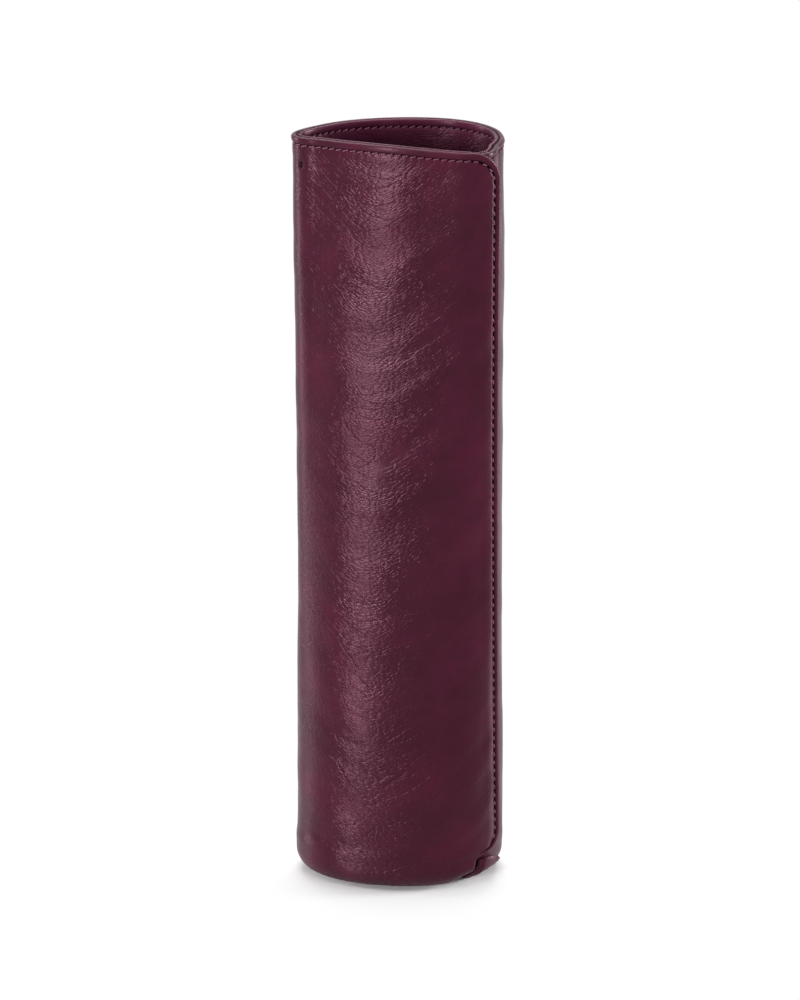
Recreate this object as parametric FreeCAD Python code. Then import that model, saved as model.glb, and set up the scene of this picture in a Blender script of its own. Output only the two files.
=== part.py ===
import FreeCAD, Part
import bisect
import math
import os

os.makedirs("parts", exist_ok=True)

# Lined leather sleeve for a folded umbrella. It stands on its base, mouth up.
# Lengths are in millimetres, Z is up, and the front is towards -Y.

# Outer sizes of the standing sleeve
height = 265.0
mouth_width = 71.0
waist_width = 69.5
foot_width = 72.5
mouth_depth = 41.4
foot_front = 24.0
foot_back = 18.5

# Plies of the wall, from the outside in, and the play between them
leather = 1.2
interlining_sheet = 0.4
lining_leather = 0.9
ply_play = 0.1

# Lap of the front panel over the back panel, and its slit at the mouth
lap = 7.5
lap_rise = 7.0
lap_fall = 6.0
flap_corner = 11.0
slit_length = 34.0
slit_gap = 0.4

# Foot of the sleeve: the boxed band under the wall, its rounded edge and its board
boxing_height = 13.0
foot_edge = 8.0
foot_fullness = 0.4
board = 1.5
board_margin = 3.4

# Sewing
seam_inset = 2.8
rim_pitch = 2.6
flap_pitch = 3.1
foot_pitch = 3.2
stitch_gap = 0.55
thread = 0.5
thread_height = 0.4
thread_play = 0.06

# Reinforcing tape inside the turned edge of the mouth, above the interlining
tape = 0.4
tape_width = 4.0
rim_turn = 0.6

# Tacks
slit_tack_height = 3.4
slit_tack_bars = 5
fold_tack_drop = 6.5
fold_tack_length = 3.0
fold_tack_pitch = 1.5
fold_tack_bars = 2
corner_tack_bars = 4

# Shapes of the two inner outlines. Mouth points are shares of the inner half width and
# inner depth, from the flap's edge round the back to the fold, then along the front.
mouth_back_shares = (
    (0.900, -0.267), (0.960, -0.161), (1.000, 0.028), (0.972, 0.181), (0.900, 0.344),
    (0.766, 0.494), (0.547, 0.611), (0.243, 0.669), (-0.091, 0.664), (-0.395, 0.608),
    (-0.653, 0.503), (-0.851, 0.358), (-0.970, 0.236), (-1.000, 0.155),
)
mouth_front_shares = (
    (-0.962, 0.105), (-0.821, 0.050), (-0.593, -0.036), (-0.304, -0.134), (0.000, -0.208),
    (0.304, -0.269), (0.547, -0.314), (0.748, -0.331),
)
flap_edge_angle = 24.0

# How finely the outlines are followed
back_steps = 30
front_steps = 26
ply_steps = 64
wall_levels = 5
edge_rings = 5
foot_points = 24
length_steps = 400
turn_reach = 8.0
face_step = 0.21
curve_spans = 6

# Depths of the plies' inner faces, measured outwards from the inside of the sleeve
interlining_depth = lining_leather + ply_play
leather_depth = interlining_depth + interlining_sheet + ply_play
panel = leather_depth + leather
lap_lift = panel + ply_play

# The boxed foot is folded double, so it fills the room of the interlining too
boxing_depth = interlining_depth + ply_play / 2

# Heights of the pieces stacked on the base
board_bottom = leather + thread_height + ply_play
board_top = board_bottom + board
lining_bottom = board_top + thread_height + ply_play
lining_edge = foot_edge - lining_bottom
wall_bottom = boxing_height + ply_play


def vector(x, y, z):
    return FreeCAD.Vector(x, y, z)


def ease(share):
    """Smooth step from 0 to 1."""
    share = min(max(share, 0.0), 1.0)
    return share * share * (3.0 - 2.0 * share)


def closed_curve(points):
    """One smooth closed curve through the points."""
    curve = Part.BSplineCurve()
    curve.interpolate(Points=points, PeriodicFlag=True)
    return curve


def spans(curve):
    """The curve's edges: several spans of it, end to end."""
    first, last = curve.FirstParameter, curve.LastParameter
    edges = []
    for span in range(curve_spans):
        piece = curve.copy()
        piece.segment(first + (last - first) * span / curve_spans,
                      first + (last - first) * (span + 1) / curve_spans)
        edges.append(piece.toShape())
    return edges


def even_points(curve, start, end, count):
    """Points at even distances along a closed curve, between two lengths from its start."""
    total = curve.length()
    points = []
    for step in range(count):
        distance = start + (end - start) * step / count
        points.append(curve.value(curve.parameterAtDistance(distance % total)))
    return points


def two_spans(curve, fold):
    """Evenly spaced points of the back span, up to the fold, and of the front span."""
    fold_length = curve.length(curve.FirstParameter, curve.parameter(fold))
    back = even_points(curve, 0.0, fold_length, back_steps)
    return back + even_points(curve, fold_length, curve.length(), front_steps)


def mouth_outline():
    """Inner outline at the mouth: arched back, nearly straight front, a fold at the left."""
    half_width = mouth_width / 2 - panel
    depth = mouth_depth - 2 * panel
    shares = mouth_back_shares + mouth_front_shares
    points = [vector(half_width * x, depth * y, 0) for x, y in shares]
    fold = points[len(mouth_back_shares) - 1]
    return two_spans(closed_curve(points), fold)


def foot_outline():
    """Inner outline at the foot: two half ovals of unlike depth."""
    half_width = foot_width / 2 - panel
    start = math.radians(-flap_edge_angle)
    points = []
    for step in range(foot_points):
        angle = start + 2 * math.pi * step / foot_points
        bulge = foot_back if math.sin(angle) > 0 else foot_front
        points.append(vector(half_width * math.cos(angle), (bulge - panel) * math.sin(angle), 0))
    return two_spans(closed_curve(points), vector(-half_width, 0, 0))


mouth_even_points = mouth_outline()
foot_even_points = foot_outline()


def width_at(share):
    """Outer width at a share of the wall's height: foot, waist and mouth on one parabola."""
    foot_part = foot_width * (1 - share) * (1 - 2 * share)
    waist_part = waist_width * 4 * share * (1 - share)
    mouth_part = mouth_width * share * (2 * share - 1)
    return foot_part + waist_part + mouth_part


class Outline:
    """Closed inner outline of the sleeve at one height, followed by its length."""

    def __init__(self, curve):
        self.curve = curve
        first, last = curve.FirstParameter, curve.LastParameter
        self.places = [first + (last - first) * step / length_steps for step in range(length_steps + 1)]
        self.lengths = [0.0]
        points = [curve.value(place) for place in self.places]
        for before, after in zip(points, points[1:]):
            self.lengths.append(self.lengths[-1] + (after - before).Length)
        self.total = self.lengths[-1]
        leftmost = min(range(length_steps), key=lambda step: points[step].x)
        self.fold = self.lengths[leftmost]
        runs = [after - before for before, after in zip(points, points[1:])]
        self.walks = [0.0]
        for index, run in enumerate(runs):
            turn = abs(run.getAngle(runs[index - 1]))
            self.walks.append(self.walks[-1] + run.Length + turn_reach * turn)

    def parameter(self, distance):
        distance = distance % self.total
        step = bisect.bisect_right(self.lengths, distance) - 1
        step = min(step, length_steps - 1)
        share = (distance - self.lengths[step]) / (self.lengths[step + 1] - self.lengths[step])
        return self.places[step] + (self.places[step + 1] - self.places[step]) * share

    def walk(self, distance):
        """Length so far plus a share for each turn, so that bends count for more."""
        laps, rest = divmod(distance, self.total)
        step = min(bisect.bisect_right(self.lengths, rest), length_steps) - 1
        share = (rest - self.lengths[step]) / (self.lengths[step + 1] - self.lengths[step])
        return laps * self.walks[-1] + self.walks[step] + (self.walks[step + 1] - self.walks[step]) * share

    def spread(self, first, last, steps):
        """Distances from first to last, closer together where the outline bends."""
        start, end = self.walk(first), self.walk(last)
        distances = []
        for index in range(steps + 1):
            laps, rest = divmod(start + (end - start) * index / steps, self.walks[-1])
            step = min(bisect.bisect_right(self.walks, rest), length_steps) - 1
            share = (rest - self.walks[step]) / (self.walks[step + 1] - self.walks[step])
            run = self.lengths[step + 1] - self.lengths[step]
            distances.append(laps * self.total + self.lengths[step] + run * share)
        return distances

    def outward(self, distance):
        """Unit vector out of the sleeve."""
        along = self.curve.tangent(self.parameter(distance))[0]
        return vector(along.y, -along.x, 0).normalize()

    def point(self, distance, depth=0.0):
        """A point at a distance from the flap's edge, moved out by a depth."""
        return self.curve.value(self.parameter(distance)) + self.outward(distance) * depth

    def lift(self, distance):
        """How far a panel lies outside the outline: the flap lies on the back panel."""
        return lap_lift * ease((distance - (self.total - lap - lap_rise)) / lap_rise)

    def flap_distance(self, length):
        """The distance along the outline of a flap point, given its length from the flap's edge."""
        walked = 0.0
        distance = self.total
        last = self.point(distance, panel + lap_lift)
        while walked < length:
            distance -= face_step
            point = self.point(distance, panel + lap_lift)
            walked += (point - last).Length
            last = point
        return distance


outlines = {}


def outline_at(z):
    """Inner outline of the sleeve at a height."""
    key = round(z, 6)
    if key not in outlines:
        share = min(max((z - boxing_height) / (height - boxing_height), 0.0), 1.0)
        plain_width = foot_width * (1 - share) + mouth_width * share
        stretch = (width_at(share) - 2 * panel) / (plain_width - 2 * panel)
        points = []
        for low, high in zip(foot_even_points, mouth_even_points):
            point = low * (1 - share) + high * share
            points.append(vector(point.x * stretch, point.y, z))
        outlines[key] = Outline(closed_curve(points))
    return outlines[key]


def hidden_edge(outline):
    """Where the back panel ends, under the flap."""
    return -lap


def facing_edge(outline):
    """Where the front panel has risen enough to have a facing behind it."""
    return outline.total - lap - lap_rise / 2


def ply_section(z, depth, thickness, margin, start):
    """Closed section of one ply at a height, from its start round to the flap's edge."""
    outline = outline_at(z)
    first = start(outline) + margin
    inside = []
    outside = []
    for distance in outline.spread(first, outline.total - margin, ply_steps):
        inner_depth = depth + outline.lift(distance)
        inside.append(outline.point(distance, inner_depth))
        outside.append(outline.point(distance, inner_depth + thickness))
    outer_face = Part.BSplineCurve()
    outer_face.interpolate(outside)
    inner_face = Part.BSplineCurve()
    inner_face.interpolate(list(reversed(inside)))
    flap_end = Part.LineSegment(outside[-1], inside[-1]).toShape()
    hidden_end = Part.LineSegment(inside[0], outside[0]).toShape()
    return Part.Wire(spans(outer_face) + [flap_end] + spans(inner_face) + [hidden_end])


def wall_ply(depth, thickness, bottom, top, margin=0.0, start=hidden_edge):
    """One ply of the wall, lapped at the right, with the flap's upper corner rounded."""
    narrow = top - bottom < lap
    levels = 2 if narrow else wall_levels
    sections = []
    for level in range(levels):
        z = bottom + (top - bottom) * level / (levels - 1)
        sections.append(ply_section(z, depth, thickness, margin, start))
    ply = Part.makeLoft(sections, True, narrow)
    if ply.Volume < 0:
        ply.reverse()
    corner = flap_corner_cutter(depth + thickness + (lap_lift - thickness) / 2, margin)
    return ply.cut(corner)


def flap_corner_cutter(clear_depth, margin):
    """Block that rounds the flap's corner and leaves the back panel behind it whole."""
    outline = outline_at(height)
    edge_distance = outline.total - margin
    start_distance = outline.flap_distance(flap_corner)
    middle = (edge_distance + start_distance) / 2
    out = outline.outward(middle)
    across = vector(-out.y, out.x, 0)
    face = panel + lap_lift
    edge = outline.point(edge_distance, face)
    start = outline.point(start_distance, face)
    width = (edge - start).dot(across)
    base = outline.point(middle)
    top = vector(base.x, base.y, height - margin) + across * (edge - base).dot(across)
    up = vector(0, 0, 1)
    begin = top - across * width
    end = top - up * flap_corner
    bow = 1 - math.sqrt(0.5)
    turn = top - across * (width * bow) - up * (flap_corner * bow)
    spare = across * panel
    rise = up * panel
    outline_wire = Part.Wire([
        Part.Arc(begin, turn, end).toShape(),
        Part.LineSegment(end, end + spare).toShape(),
        Part.LineSegment(end + spare, top + spare + rise).toShape(),
        Part.LineSegment(top + spare + rise, begin + rise).toShape(),
        Part.LineSegment(begin + rise, begin).toShape(),
    ])
    cutter = Part.Face(outline_wire).extrude(out * (face + lap))
    return cutter.cut(closed_block(height - 2 * flap_corner, height + 2 * panel, clear_depth))


def closed_ring(z, depth, flap_share):
    """Closed wire round the sleeve at a depth, swelling over the lap by a share of its lift."""
    outline = outline_at(z)
    points = []
    for distance in outline.spread(0.0, outline.total, ply_steps)[:-1]:
        lift = outline.lift(distance) + lap_lift * (1 - ease(distance / lap_fall))
        points.append(outline.point(distance, depth + lift * flap_share))
    return Part.Wire(spans(closed_curve(points)))


def closed_block(bottom, top, depth):
    """Solid filled out to a depth between two heights."""
    rings = [closed_ring(z, depth, 0) for z in (bottom, top)]
    return Part.makeLoft(rings, True, True)


def rounded_block(bottom, top, depth, radius, flap_share):
    """Solid with a rounded lower edge, filled out to a depth."""
    rings = []
    for ring in range(edge_rings):
        angle = math.pi / 2 * ring / (edge_rings - 1)
        inset = radius * (1 - math.sin(angle))
        z = bottom + radius * (1 - math.cos(angle))
        rings.append(closed_ring(z, depth - inset, flap_share * math.sin(angle)))
    rings.append(closed_ring(top, depth, flap_share))
    return Part.makeLoft(rings, True, True)


def foot_dish(bottom, top, depth, thickness, base, radius, flap_share):
    """Bottom of one ply: a flat base with a rounded edge that runs up to the wall."""
    outside = rounded_block(bottom, top, depth + thickness, radius, flap_share)
    inside = rounded_block(bottom + base, top + panel, depth, radius - base, 0)
    return outside.cut(inside)


def flat_face_at(solid, z):
    """The level face of a solid at a height, and the solid's other faces."""
    boxes = [(face, face.BoundBox) for face in solid.Faces]
    level = [face for face, box in boxes if abs(box.ZMin - z) + box.ZLength < thread_play]
    others = [face for face in solid.Faces if not any(face.isSame(found) for found in level)]
    return level[0], others


def stand_on(wall, dish, z):
    """One solid from a wall and the dish whose rim it stands on."""
    foot_face, wall_faces = flat_face_at(wall, z)
    rim_face, dish_faces = flat_face_at(dish, z)
    hole = foot_face.OuterWire
    outer = rim_face.OuterWire
    inner = [wire for wire in rim_face.Wires if not wire.isSame(outer)]
    ledge = Part.makeFace([outer] + inner + [hole], "Part::FaceMakerBullseye")
    if ledge.normalAt(0, 0).z < 0:
        ledge.reverse()
    shell = Part.makeShell(wall_faces + dish_faces + [ledge])
    solid = Part.makeSolid(shell)
    if solid.Volume < 0:
        solid.reverse()
    return solid


def make_outer_wrap():
    """Outer leather: the lapped wall, and the boxed foot that it stands on."""
    wall = wall_ply(leather_depth, leather, boxing_height, height)
    thickness = panel + foot_fullness - boxing_depth
    dish = foot_dish(0, boxing_height, boxing_depth, thickness, leather, foot_edge, 1)
    return stand_on(wall, dish, boxing_height)


def make_interlining():
    top = height - rim_turn - tape_width - ply_play
    return wall_ply(interlining_depth, interlining_sheet, wall_bottom, top, rim_turn)


def make_rim_tape():
    bottom = height - rim_turn - tape_width
    return wall_ply(interlining_depth, tape, bottom, height - rim_turn, rim_turn)


def make_flap_facing():
    """Lining leather behind the flap, where the front panel has left the lining."""
    return wall_ply(0, lining_leather, wall_bottom, height, rim_turn, facing_edge)


def lining_block(depth, bottom, radius, top):
    """The lining filled out to a depth, from its rounded bottom edge to the mouth."""
    rings = []
    for ring in range(edge_rings):
        angle = math.pi / 2 * ring / (edge_rings - 1)
        z = bottom + radius * (1 - math.cos(angle))
        rings.append(closed_ring(z, depth - radius * (1 - math.sin(angle)), 0))
    levels = wall_levels * 2
    for level in range(levels):
        z = boxing_height + (top - boxing_height) * level / (levels - 1)
        rings.append(closed_ring(z, depth, 0))
    return Part.makeLoft(rings, True, True)


def make_lining_wrap():
    """Lining: a closed tube with its own base, slit at the mouth behind the flap."""
    outside = lining_block(lining_leather, lining_bottom, lining_edge, height)
    inner_edge = lining_edge - lining_leather
    inside = lining_block(0, lining_bottom + lining_leather, inner_edge, height + panel)
    outline = outline_at(height)
    out = outline.outward(-lap)
    corner = outline.point(-lap - seam_inset, -panel)
    slit = Part.makeBox(slit_gap, lap_lift + lining_leather + panel, slit_length + panel)
    slit.Placement = FreeCAD.Placement(FreeCAD.Matrix(
        -out.y, out.x, 0, corner.x,
        out.x, out.y, 0, corner.y,
        0, 0, 1, height - slit_length,
        0, 0, 0, 1))
    return outside.cut(inside).cut(slit)


def make_base_board():
    return closed_block(board_bottom, board_top, -board_margin)


def stitch(start, end, out, room):
    """One visible stitch: a short bar of thread laid on a face between two points."""
    along = end - start
    length = along.Length
    along = along * (1 / length)
    side = out.cross(along).normalize()
    upright = along.cross(side).normalize()
    corner = start + side * (-thread / 2) + upright * room
    bar = Part.makeBox(length, thread, thread_height)
    bar.Placement = FreeCAD.Placement(FreeCAD.Matrix(
        along.x, side.x, upright.x, corner.x,
        along.y, side.y, upright.y, corner.y,
        along.z, side.z, upright.z, corner.z,
        0, 0, 0, 1))
    return bar


def laid_stitch(places, depth, inside):
    """A stitch on a wall face, from its two ends and its middle as (distance, height)."""
    points = []
    for distance, z in places:
        outline = outline_at(z)
        points.append(outline.point(distance, depth + outline.lift(distance)))
    start, middle, end = points
    distance, z = places[1]
    out = outline_at(z).outward(distance) * (-1 if inside else 1)
    sag = (middle - (start + end) * 0.5).dot(out)
    return stitch(start, end, out, max(sag * 2, 0.0) + thread_play)


def route_place(route, lengths, distance):
    """The (distance, height) pair at a length along a route."""
    for index in range(len(route) - 1):
        if distance <= lengths[index + 1]:
            share = (distance - lengths[index]) / (lengths[index + 1] - lengths[index])
            first, second = route[index], route[index + 1]
            return (first[0] + (second[0] - first[0]) * share,
                    first[1] + (second[1] - first[1]) * share)
    return route[-1]


def row_of_stitches(route, pitch, depth, inside):
    """Stitches along a route of (distance, height) pairs, evenly spread."""
    lengths = [0.0]
    for first, second in zip(route, route[1:]):
        lengths.append(lengths[-1] + math.hypot(second[0] - first[0], second[1] - first[1]))
    count = int(lengths[-1] / pitch)
    step = lengths[-1] / count
    half_gap = stitch_gap / 2
    bars = []
    for index in range(count):
        distances = (index * step + half_gap, (index + 0.5) * step, (index + 1) * step - half_gap)
        places = [route_place(route, lengths, distance) for distance in distances]
        bars.append(laid_stitch(places, depth, inside))
    return Part.makeCompound(bars)


def make_rim_needle_thread():
    """Outside of the mouth's seam, from under the flap round to the flap's corner."""
    z = height - seam_inset
    end = outline_at(z).flap_distance(flap_corner)
    return row_of_stitches([(0, z), (end, z)], rim_pitch, panel, False)


def make_rim_bobbin_thread():
    """Inside of the mouth's seam, up to where the flap leaves the back panel's lining."""
    z = height - seam_inset
    end = outline_at(z).total - lap - lap_rise
    return row_of_stitches([(seam_inset - lap, z), (end, z)], rim_pitch, 0, True)


def make_flap_needle_thread():
    """Round the flap's corner and down its edge to the boxed foot."""
    radius = flap_corner - seam_inset
    route = []
    for step in range(edge_rings * 2):
        angle = math.pi / 2 * step / (edge_rings * 2 - 1)
        z = height - flap_corner + radius * math.cos(angle)
        from_edge = flap_corner - radius * math.sin(angle)
        route.append((outline_at(z).flap_distance(from_edge), z))
    top = height - flap_corner
    bottom = boxing_height + thread
    for level in range(1, wall_levels):
        z = top + (bottom - top) * level / (wall_levels - 1)
        route.append((outline_at(z).flap_distance(seam_inset), z))
    return row_of_stitches(route, flap_pitch, panel, False)


def make_lap_bobbin_thread():
    """Inside of the lap's seam, on the back panel's lining below the slit."""
    top = height - slit_length
    bottom = wall_bottom + thread
    route = []
    for level in range(wall_levels):
        z = top + (bottom - top) * level / (wall_levels - 1)
        outline = outline_at(z)
        route.append((outline.flap_distance(seam_inset) - outline.total, z))
    return row_of_stitches(route, flap_pitch, 0, True)


def make_slit_tack():
    """Close bars of thread across the flap's edge stitching, where the slit ends."""
    bars = []
    for bar in range(slit_tack_bars):
        z = height - slit_length - slit_tack_height * bar / slit_tack_bars
        outline = outline_at(z)
        start = outline.flap_distance(seam_inset - thread)
        end = outline.flap_distance(thread)
        places = [(start, z), ((start + end) / 2, z), (end, z)]
        bars.append(laid_stitch(places, panel, False))
    return Part.makeCompound(bars)


def make_fold_tack():
    """Two short stitches beside the fold, under the mouth's seam."""
    bars = []
    for bar in range(fold_tack_bars):
        z = height - seam_inset - fold_tack_drop - fold_tack_pitch * bar
        start = outline_at(z).fold + panel
        places = [(start + fold_tack_length * share, z) for share in (0.0, 0.5, 1.0)]
        bars.append(laid_stitch(places, panel, False))
    return Part.makeCompound(bars)


def flat_row(z, half_length):
    """Straight row of stitches lying flat along X, on a face at a height."""
    bars = []
    for index in range(int(2 * half_length / foot_pitch)):
        start = vector(index * foot_pitch - half_length, 0, z)
        end = start + vector(foot_pitch - stitch_gap, 0, 0)
        bars.append(stitch(start, end, vector(0, 0, 1), thread_play))
    return Part.makeCompound(bars)


def make_base_seam_thread():
    return flat_row(leather, foot_width / 2 - foot_edge - board_margin)


def make_lining_seam_thread():
    return flat_row(board_top, foot_width / 2 - foot_edge - board_margin)


def make_corner_tack_thread():
    """Short stitches that hold the two folded corners of the foot to the base."""
    bars = []
    for side in (-1, 1):
        x = side * (foot_width / 2 - foot_edge - board_margin)
        for bar in range(corner_tack_bars):
            y = foot_pitch * (bar - corner_tack_bars / 2)
            start = vector(x, y, leather)
            end = start + vector(0, foot_pitch - stitch_gap, 0)
            bars.append(stitch(start, end, vector(0, 0, 1), thread_play))
    return Part.makeCompound(bars)


PIECES = (
    ("outer_wrap", make_outer_wrap),
    ("lining_wrap", make_lining_wrap),
    ("interlining", make_interlining),
    ("rim_tape", make_rim_tape),
    ("flap_facing", make_flap_facing),
    ("base_board", make_base_board),
    ("rim_needle_thread", make_rim_needle_thread),
    ("rim_bobbin_thread", make_rim_bobbin_thread),
    ("flap_needle_thread", make_flap_needle_thread),
    ("lap_bobbin_thread", make_lap_bobbin_thread),
    ("slit_tack_thread", make_slit_tack),
    ("fold_tack_thread", make_fold_tack),
    ("base_seam_thread", make_base_seam_thread),
    ("lining_seam_thread", make_lining_seam_thread),
    ("corner_tack_thread", make_corner_tack_thread),
)


def main():
    shapes = {name: make() for name, make in PIECES}
    whole = Part.makeCompound(list(shapes.values())).optimalBoundingBox(False)
    middle = vector(whole.Center.x, whole.Center.y, 0)
    print("outline lengths", round(outline_at(0).total, 1), round(outline_at(height).total, 1))
    print("middle of the outline's own frame", round(middle.x, 3), round(middle.y, 3))
    for name, shape in shapes.items():
        shape.translate(-middle)
        box = shape.BoundBox
        print(name, len(shape.Solids), shape.isValid(), round(shape.Volume, 1),
              [round(value, 2) for value in (box.XMin, box.XMax, box.YMin, box.YMax, box.ZMin, box.ZMax)])
        shape.exportStep("parts/" + name + ".step")


main()
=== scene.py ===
import math

import bpy
import numpy as np
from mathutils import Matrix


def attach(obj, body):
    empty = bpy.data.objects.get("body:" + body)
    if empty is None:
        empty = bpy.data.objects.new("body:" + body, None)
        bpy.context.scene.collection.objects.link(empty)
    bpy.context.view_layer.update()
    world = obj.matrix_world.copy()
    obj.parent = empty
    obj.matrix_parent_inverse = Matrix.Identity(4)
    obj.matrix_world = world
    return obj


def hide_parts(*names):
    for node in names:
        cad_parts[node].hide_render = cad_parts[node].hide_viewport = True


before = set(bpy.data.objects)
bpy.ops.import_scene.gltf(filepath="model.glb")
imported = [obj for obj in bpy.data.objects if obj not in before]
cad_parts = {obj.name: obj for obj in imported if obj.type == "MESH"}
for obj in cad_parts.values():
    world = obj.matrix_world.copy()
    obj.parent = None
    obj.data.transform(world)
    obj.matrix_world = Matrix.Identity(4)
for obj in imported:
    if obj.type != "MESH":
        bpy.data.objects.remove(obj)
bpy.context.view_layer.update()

# Umbrella sleeve in wine red calf, standing on its base. The leather is unrolled in
# millimetres: a length along a face from the flap's edge, and a way down from the mouth.
# Points become metres when a mesh is made.
mm = 0.001

# Outer sizes of the standing sleeve
height = 265.0
mouth_width = 71.0
waist_width = 69.5
foot_width = 72.5
mouth_depth = 41.4
foot_front = 24.0
foot_back = 18.5

# Plies of the wall, from the outside in, and the play between them
leather = 1.2
interlining_sheet = 0.4
lining_leather = 0.9
ply_play = 0.1
panel = leather + interlining_sheet + lining_leather + 2 * ply_play

# Lap of the front panel over the back panel, and its slit at the mouth
lap = 7.5
lap_rise = 38.0
lap_lift = panel + ply_play
flap_corner = 11.0
slit_length = 34.0

# Foot of the sleeve, with half the length and half the gap of the seam in its bases
boxing_height = 13.0
foot_edge = 8.0
foot_fullness = 0.4
lining_bottom = 3.7
base_seam_half = 25.0
base_seam_half_gap = 0.05

# Middle of the footprint, which is the frame's origin, from the outlines' own origin
footprint_middle = np.array((0.017, 1.473, 0.0))

# Sewing
seam_inset = 2.8
rim_pitch = 2.6
flap_pitch = 3.1
stitch_gap = 0.55
thread = 0.5

# Shapes of the two inner outlines. Mouth points are shares of the inner half width and
# inner depth, from the flap's edge round the back to the fold, then along the front.
mouth_back_shares = (
    (0.900, -0.267), (0.960, -0.161), (1.000, 0.028), (0.972, 0.181), (0.900, 0.344),
    (0.766, 0.494), (0.547, 0.611), (0.243, 0.669), (-0.091, 0.664), (-0.395, 0.608),
    (-0.653, 0.503), (-0.851, 0.358), (-0.970, 0.236), (-1.000, 0.155),
)
mouth_front_shares = (
    (-0.962, 0.105), (-0.821, 0.050), (-0.593, -0.036), (-0.304, -0.134), (0.000, -0.208),
    (0.304, -0.269), (0.547, -0.314), (0.748, -0.331),
)
flap_edge_angle = 24.0
foot_points = 24

# How finely the splines, the outlines' two spans, the wall's levels and the faces are sampled
spline_samples = 200
span_samples = 800
wall_samples = 15
face_samples = 2400


def ease(share):
    """Smooth step from 0 to 1."""
    share = np.clip(share, 0.0, 1.0)
    return share * share * (3.0 - 2.0 * share)


def mound(way, top, middle, reach):
    """A smooth rise to its top at the middle, which falls off on both sides over the reach."""
    return top * np.exp(-((way - middle) / reach)**2)


# Outlines


def closed_spline(points):
    """Close samples of the smooth closed curve through the points."""
    points = np.asarray(points, float)
    count = len(points)
    after = np.linalg.norm(np.roll(points, -1, 0) - points, axis=1)
    before = np.roll(after, 1)
    matrix = np.zeros((count, count))
    for row in range(count):
        matrix[row, row - 1] += after[row]
        matrix[row, row] += 2 * (before[row] + after[row])
        matrix[row, (row + 1) % count] += before[row]
    step_on = (np.roll(points, -1, 0) - points) / after[:, None]
    step_back = np.roll(step_on, 1, 0)
    slopes = np.linalg.solve(matrix, 3 * (after[:, None] * step_back + before[:, None] * step_on))
    share = np.linspace(0, 1, spline_samples, endpoint=False)[:, None]
    spans = []
    for index in range(count):
        start, end = points[index], points[(index + 1) % count]
        low, high = slopes[index] * after[index], slopes[(index + 1) % count] * after[index]
        spans.append(start * (2 * share**3 - 3 * share**2 + 1) + low * (share**3 - 2 * share**2 + share)
                     + end * (3 * share**2 - 2 * share**3) + high * (share**3 - share**2))
    return np.concatenate(spans + [points[:1]])


def two_spans(curve, fold):
    """The curve evenly sampled from the flap's edge to the fold, and from there back to the edge."""
    at_fold = int(np.argmin(np.linalg.norm(curve - fold, axis=1)))
    parts = []
    for part in (curve[:at_fold + 1], curve[at_fold:]):
        lengths = np.concatenate(([0], np.cumsum(np.linalg.norm(np.diff(part, axis=0), axis=1))))
        even = np.linspace(0, lengths[-1], span_samples + 1)
        parts.append(np.stack([np.interp(even, lengths, part[:, axis]) for axis in (0, 1)], 1))
    return np.concatenate([parts[0], parts[1][1:]])


def mouth_outline():
    """Inner outline of the mouth."""
    half_width, depth = mouth_width / 2 - panel, mouth_depth - 2 * panel
    points = [(x * half_width, y * depth) for x, y in mouth_back_shares + mouth_front_shares]
    fold_x, fold_y = mouth_back_shares[-1]
    return two_spans(closed_spline(points), np.array((fold_x * half_width, fold_y * depth)))


def foot_outline():
    """Inner outline of the foot: two half ovals, the front one deeper."""
    half_width = foot_width / 2 - panel
    points = []
    for step in range(foot_points):
        angle = 2 * math.pi * step / foot_points - math.radians(flap_edge_angle)
        bulge = foot_back if math.sin(angle) > 0 else foot_front
        points.append((half_width * math.cos(angle), (bulge - panel) * math.sin(angle)))
    return two_spans(closed_spline(points), np.array((-half_width, 0.0)))


# A place on an outline runs from 0 at the flap's edge over the back to 1 at the fold, and
# over the front to 2 at the flap's edge again.
outline_places = np.linspace(0, 2, 2 * span_samples + 1)
mouth_line = mouth_outline()
foot_line = foot_outline()


def width_at(share):
    """Outer width at a share of the wall's height: foot, waist and mouth on one parabola."""
    foot_part = foot_width * (1 - share) * (1 - 2 * share)
    waist_part = waist_width * 4 * share * (1 - share)
    return foot_part + waist_part + mouth_width * share * (2 * share - 1)


def slopes_of(line):
    """How fast the line runs at each of its samples, with its two ends joined."""
    wrapped = np.concatenate([line[-3:-1], line, line[1:3]])
    return (wrapped[3:-1] - wrapped[1:-3]) * span_samples / 2


mouth_slope = slopes_of(mouth_line)
foot_slope = slopes_of(foot_line)


def wall_share(z):
    """Height as a share of the wall above the boxed foot."""
    return np.clip((z - boxing_height) / (height - boxing_height), 0, 1)


def outline(place, z):
    """Points of the inner outline, and outward unit vectors, at places and heights."""
    place = np.mod(place, 2.0)
    share = wall_share(z)
    plain = foot_width * (1 - share) + mouth_width * share
    stretch = (width_at(share) - 2 * panel) / (plain - 2 * panel)
    blend = []
    for low, high in ((foot_line, mouth_line), (foot_slope, mouth_slope)):
        for axis in (0, 1):
            value = (np.interp(place, outline_places, low[:, axis]) * (1 - share)
                     + np.interp(place, outline_places, high[:, axis]) * share)
            blend.append(value * stretch if axis == 0 else value)
    x, y, along_x, along_y = blend
    size = np.hypot(along_x, along_y)
    return x, y, along_y / size, -along_x / size


wall_levels = np.linspace(boxing_height, height, wall_samples)


def span_lengths():
    """Length of the outline's two spans at each level of the wall."""
    lengths = []
    for z in wall_levels:
        x, y, _, _ = outline(outline_places[:-1], z)
        x, y = np.append(x, x[0]), np.append(y, y[0])
        steps = np.hypot(np.diff(x), np.diff(y))
        lengths.append((steps[:span_samples].sum(), steps[span_samples:].sum()))
    return np.array(lengths)


back_lengths, front_lengths = span_lengths().T


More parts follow.
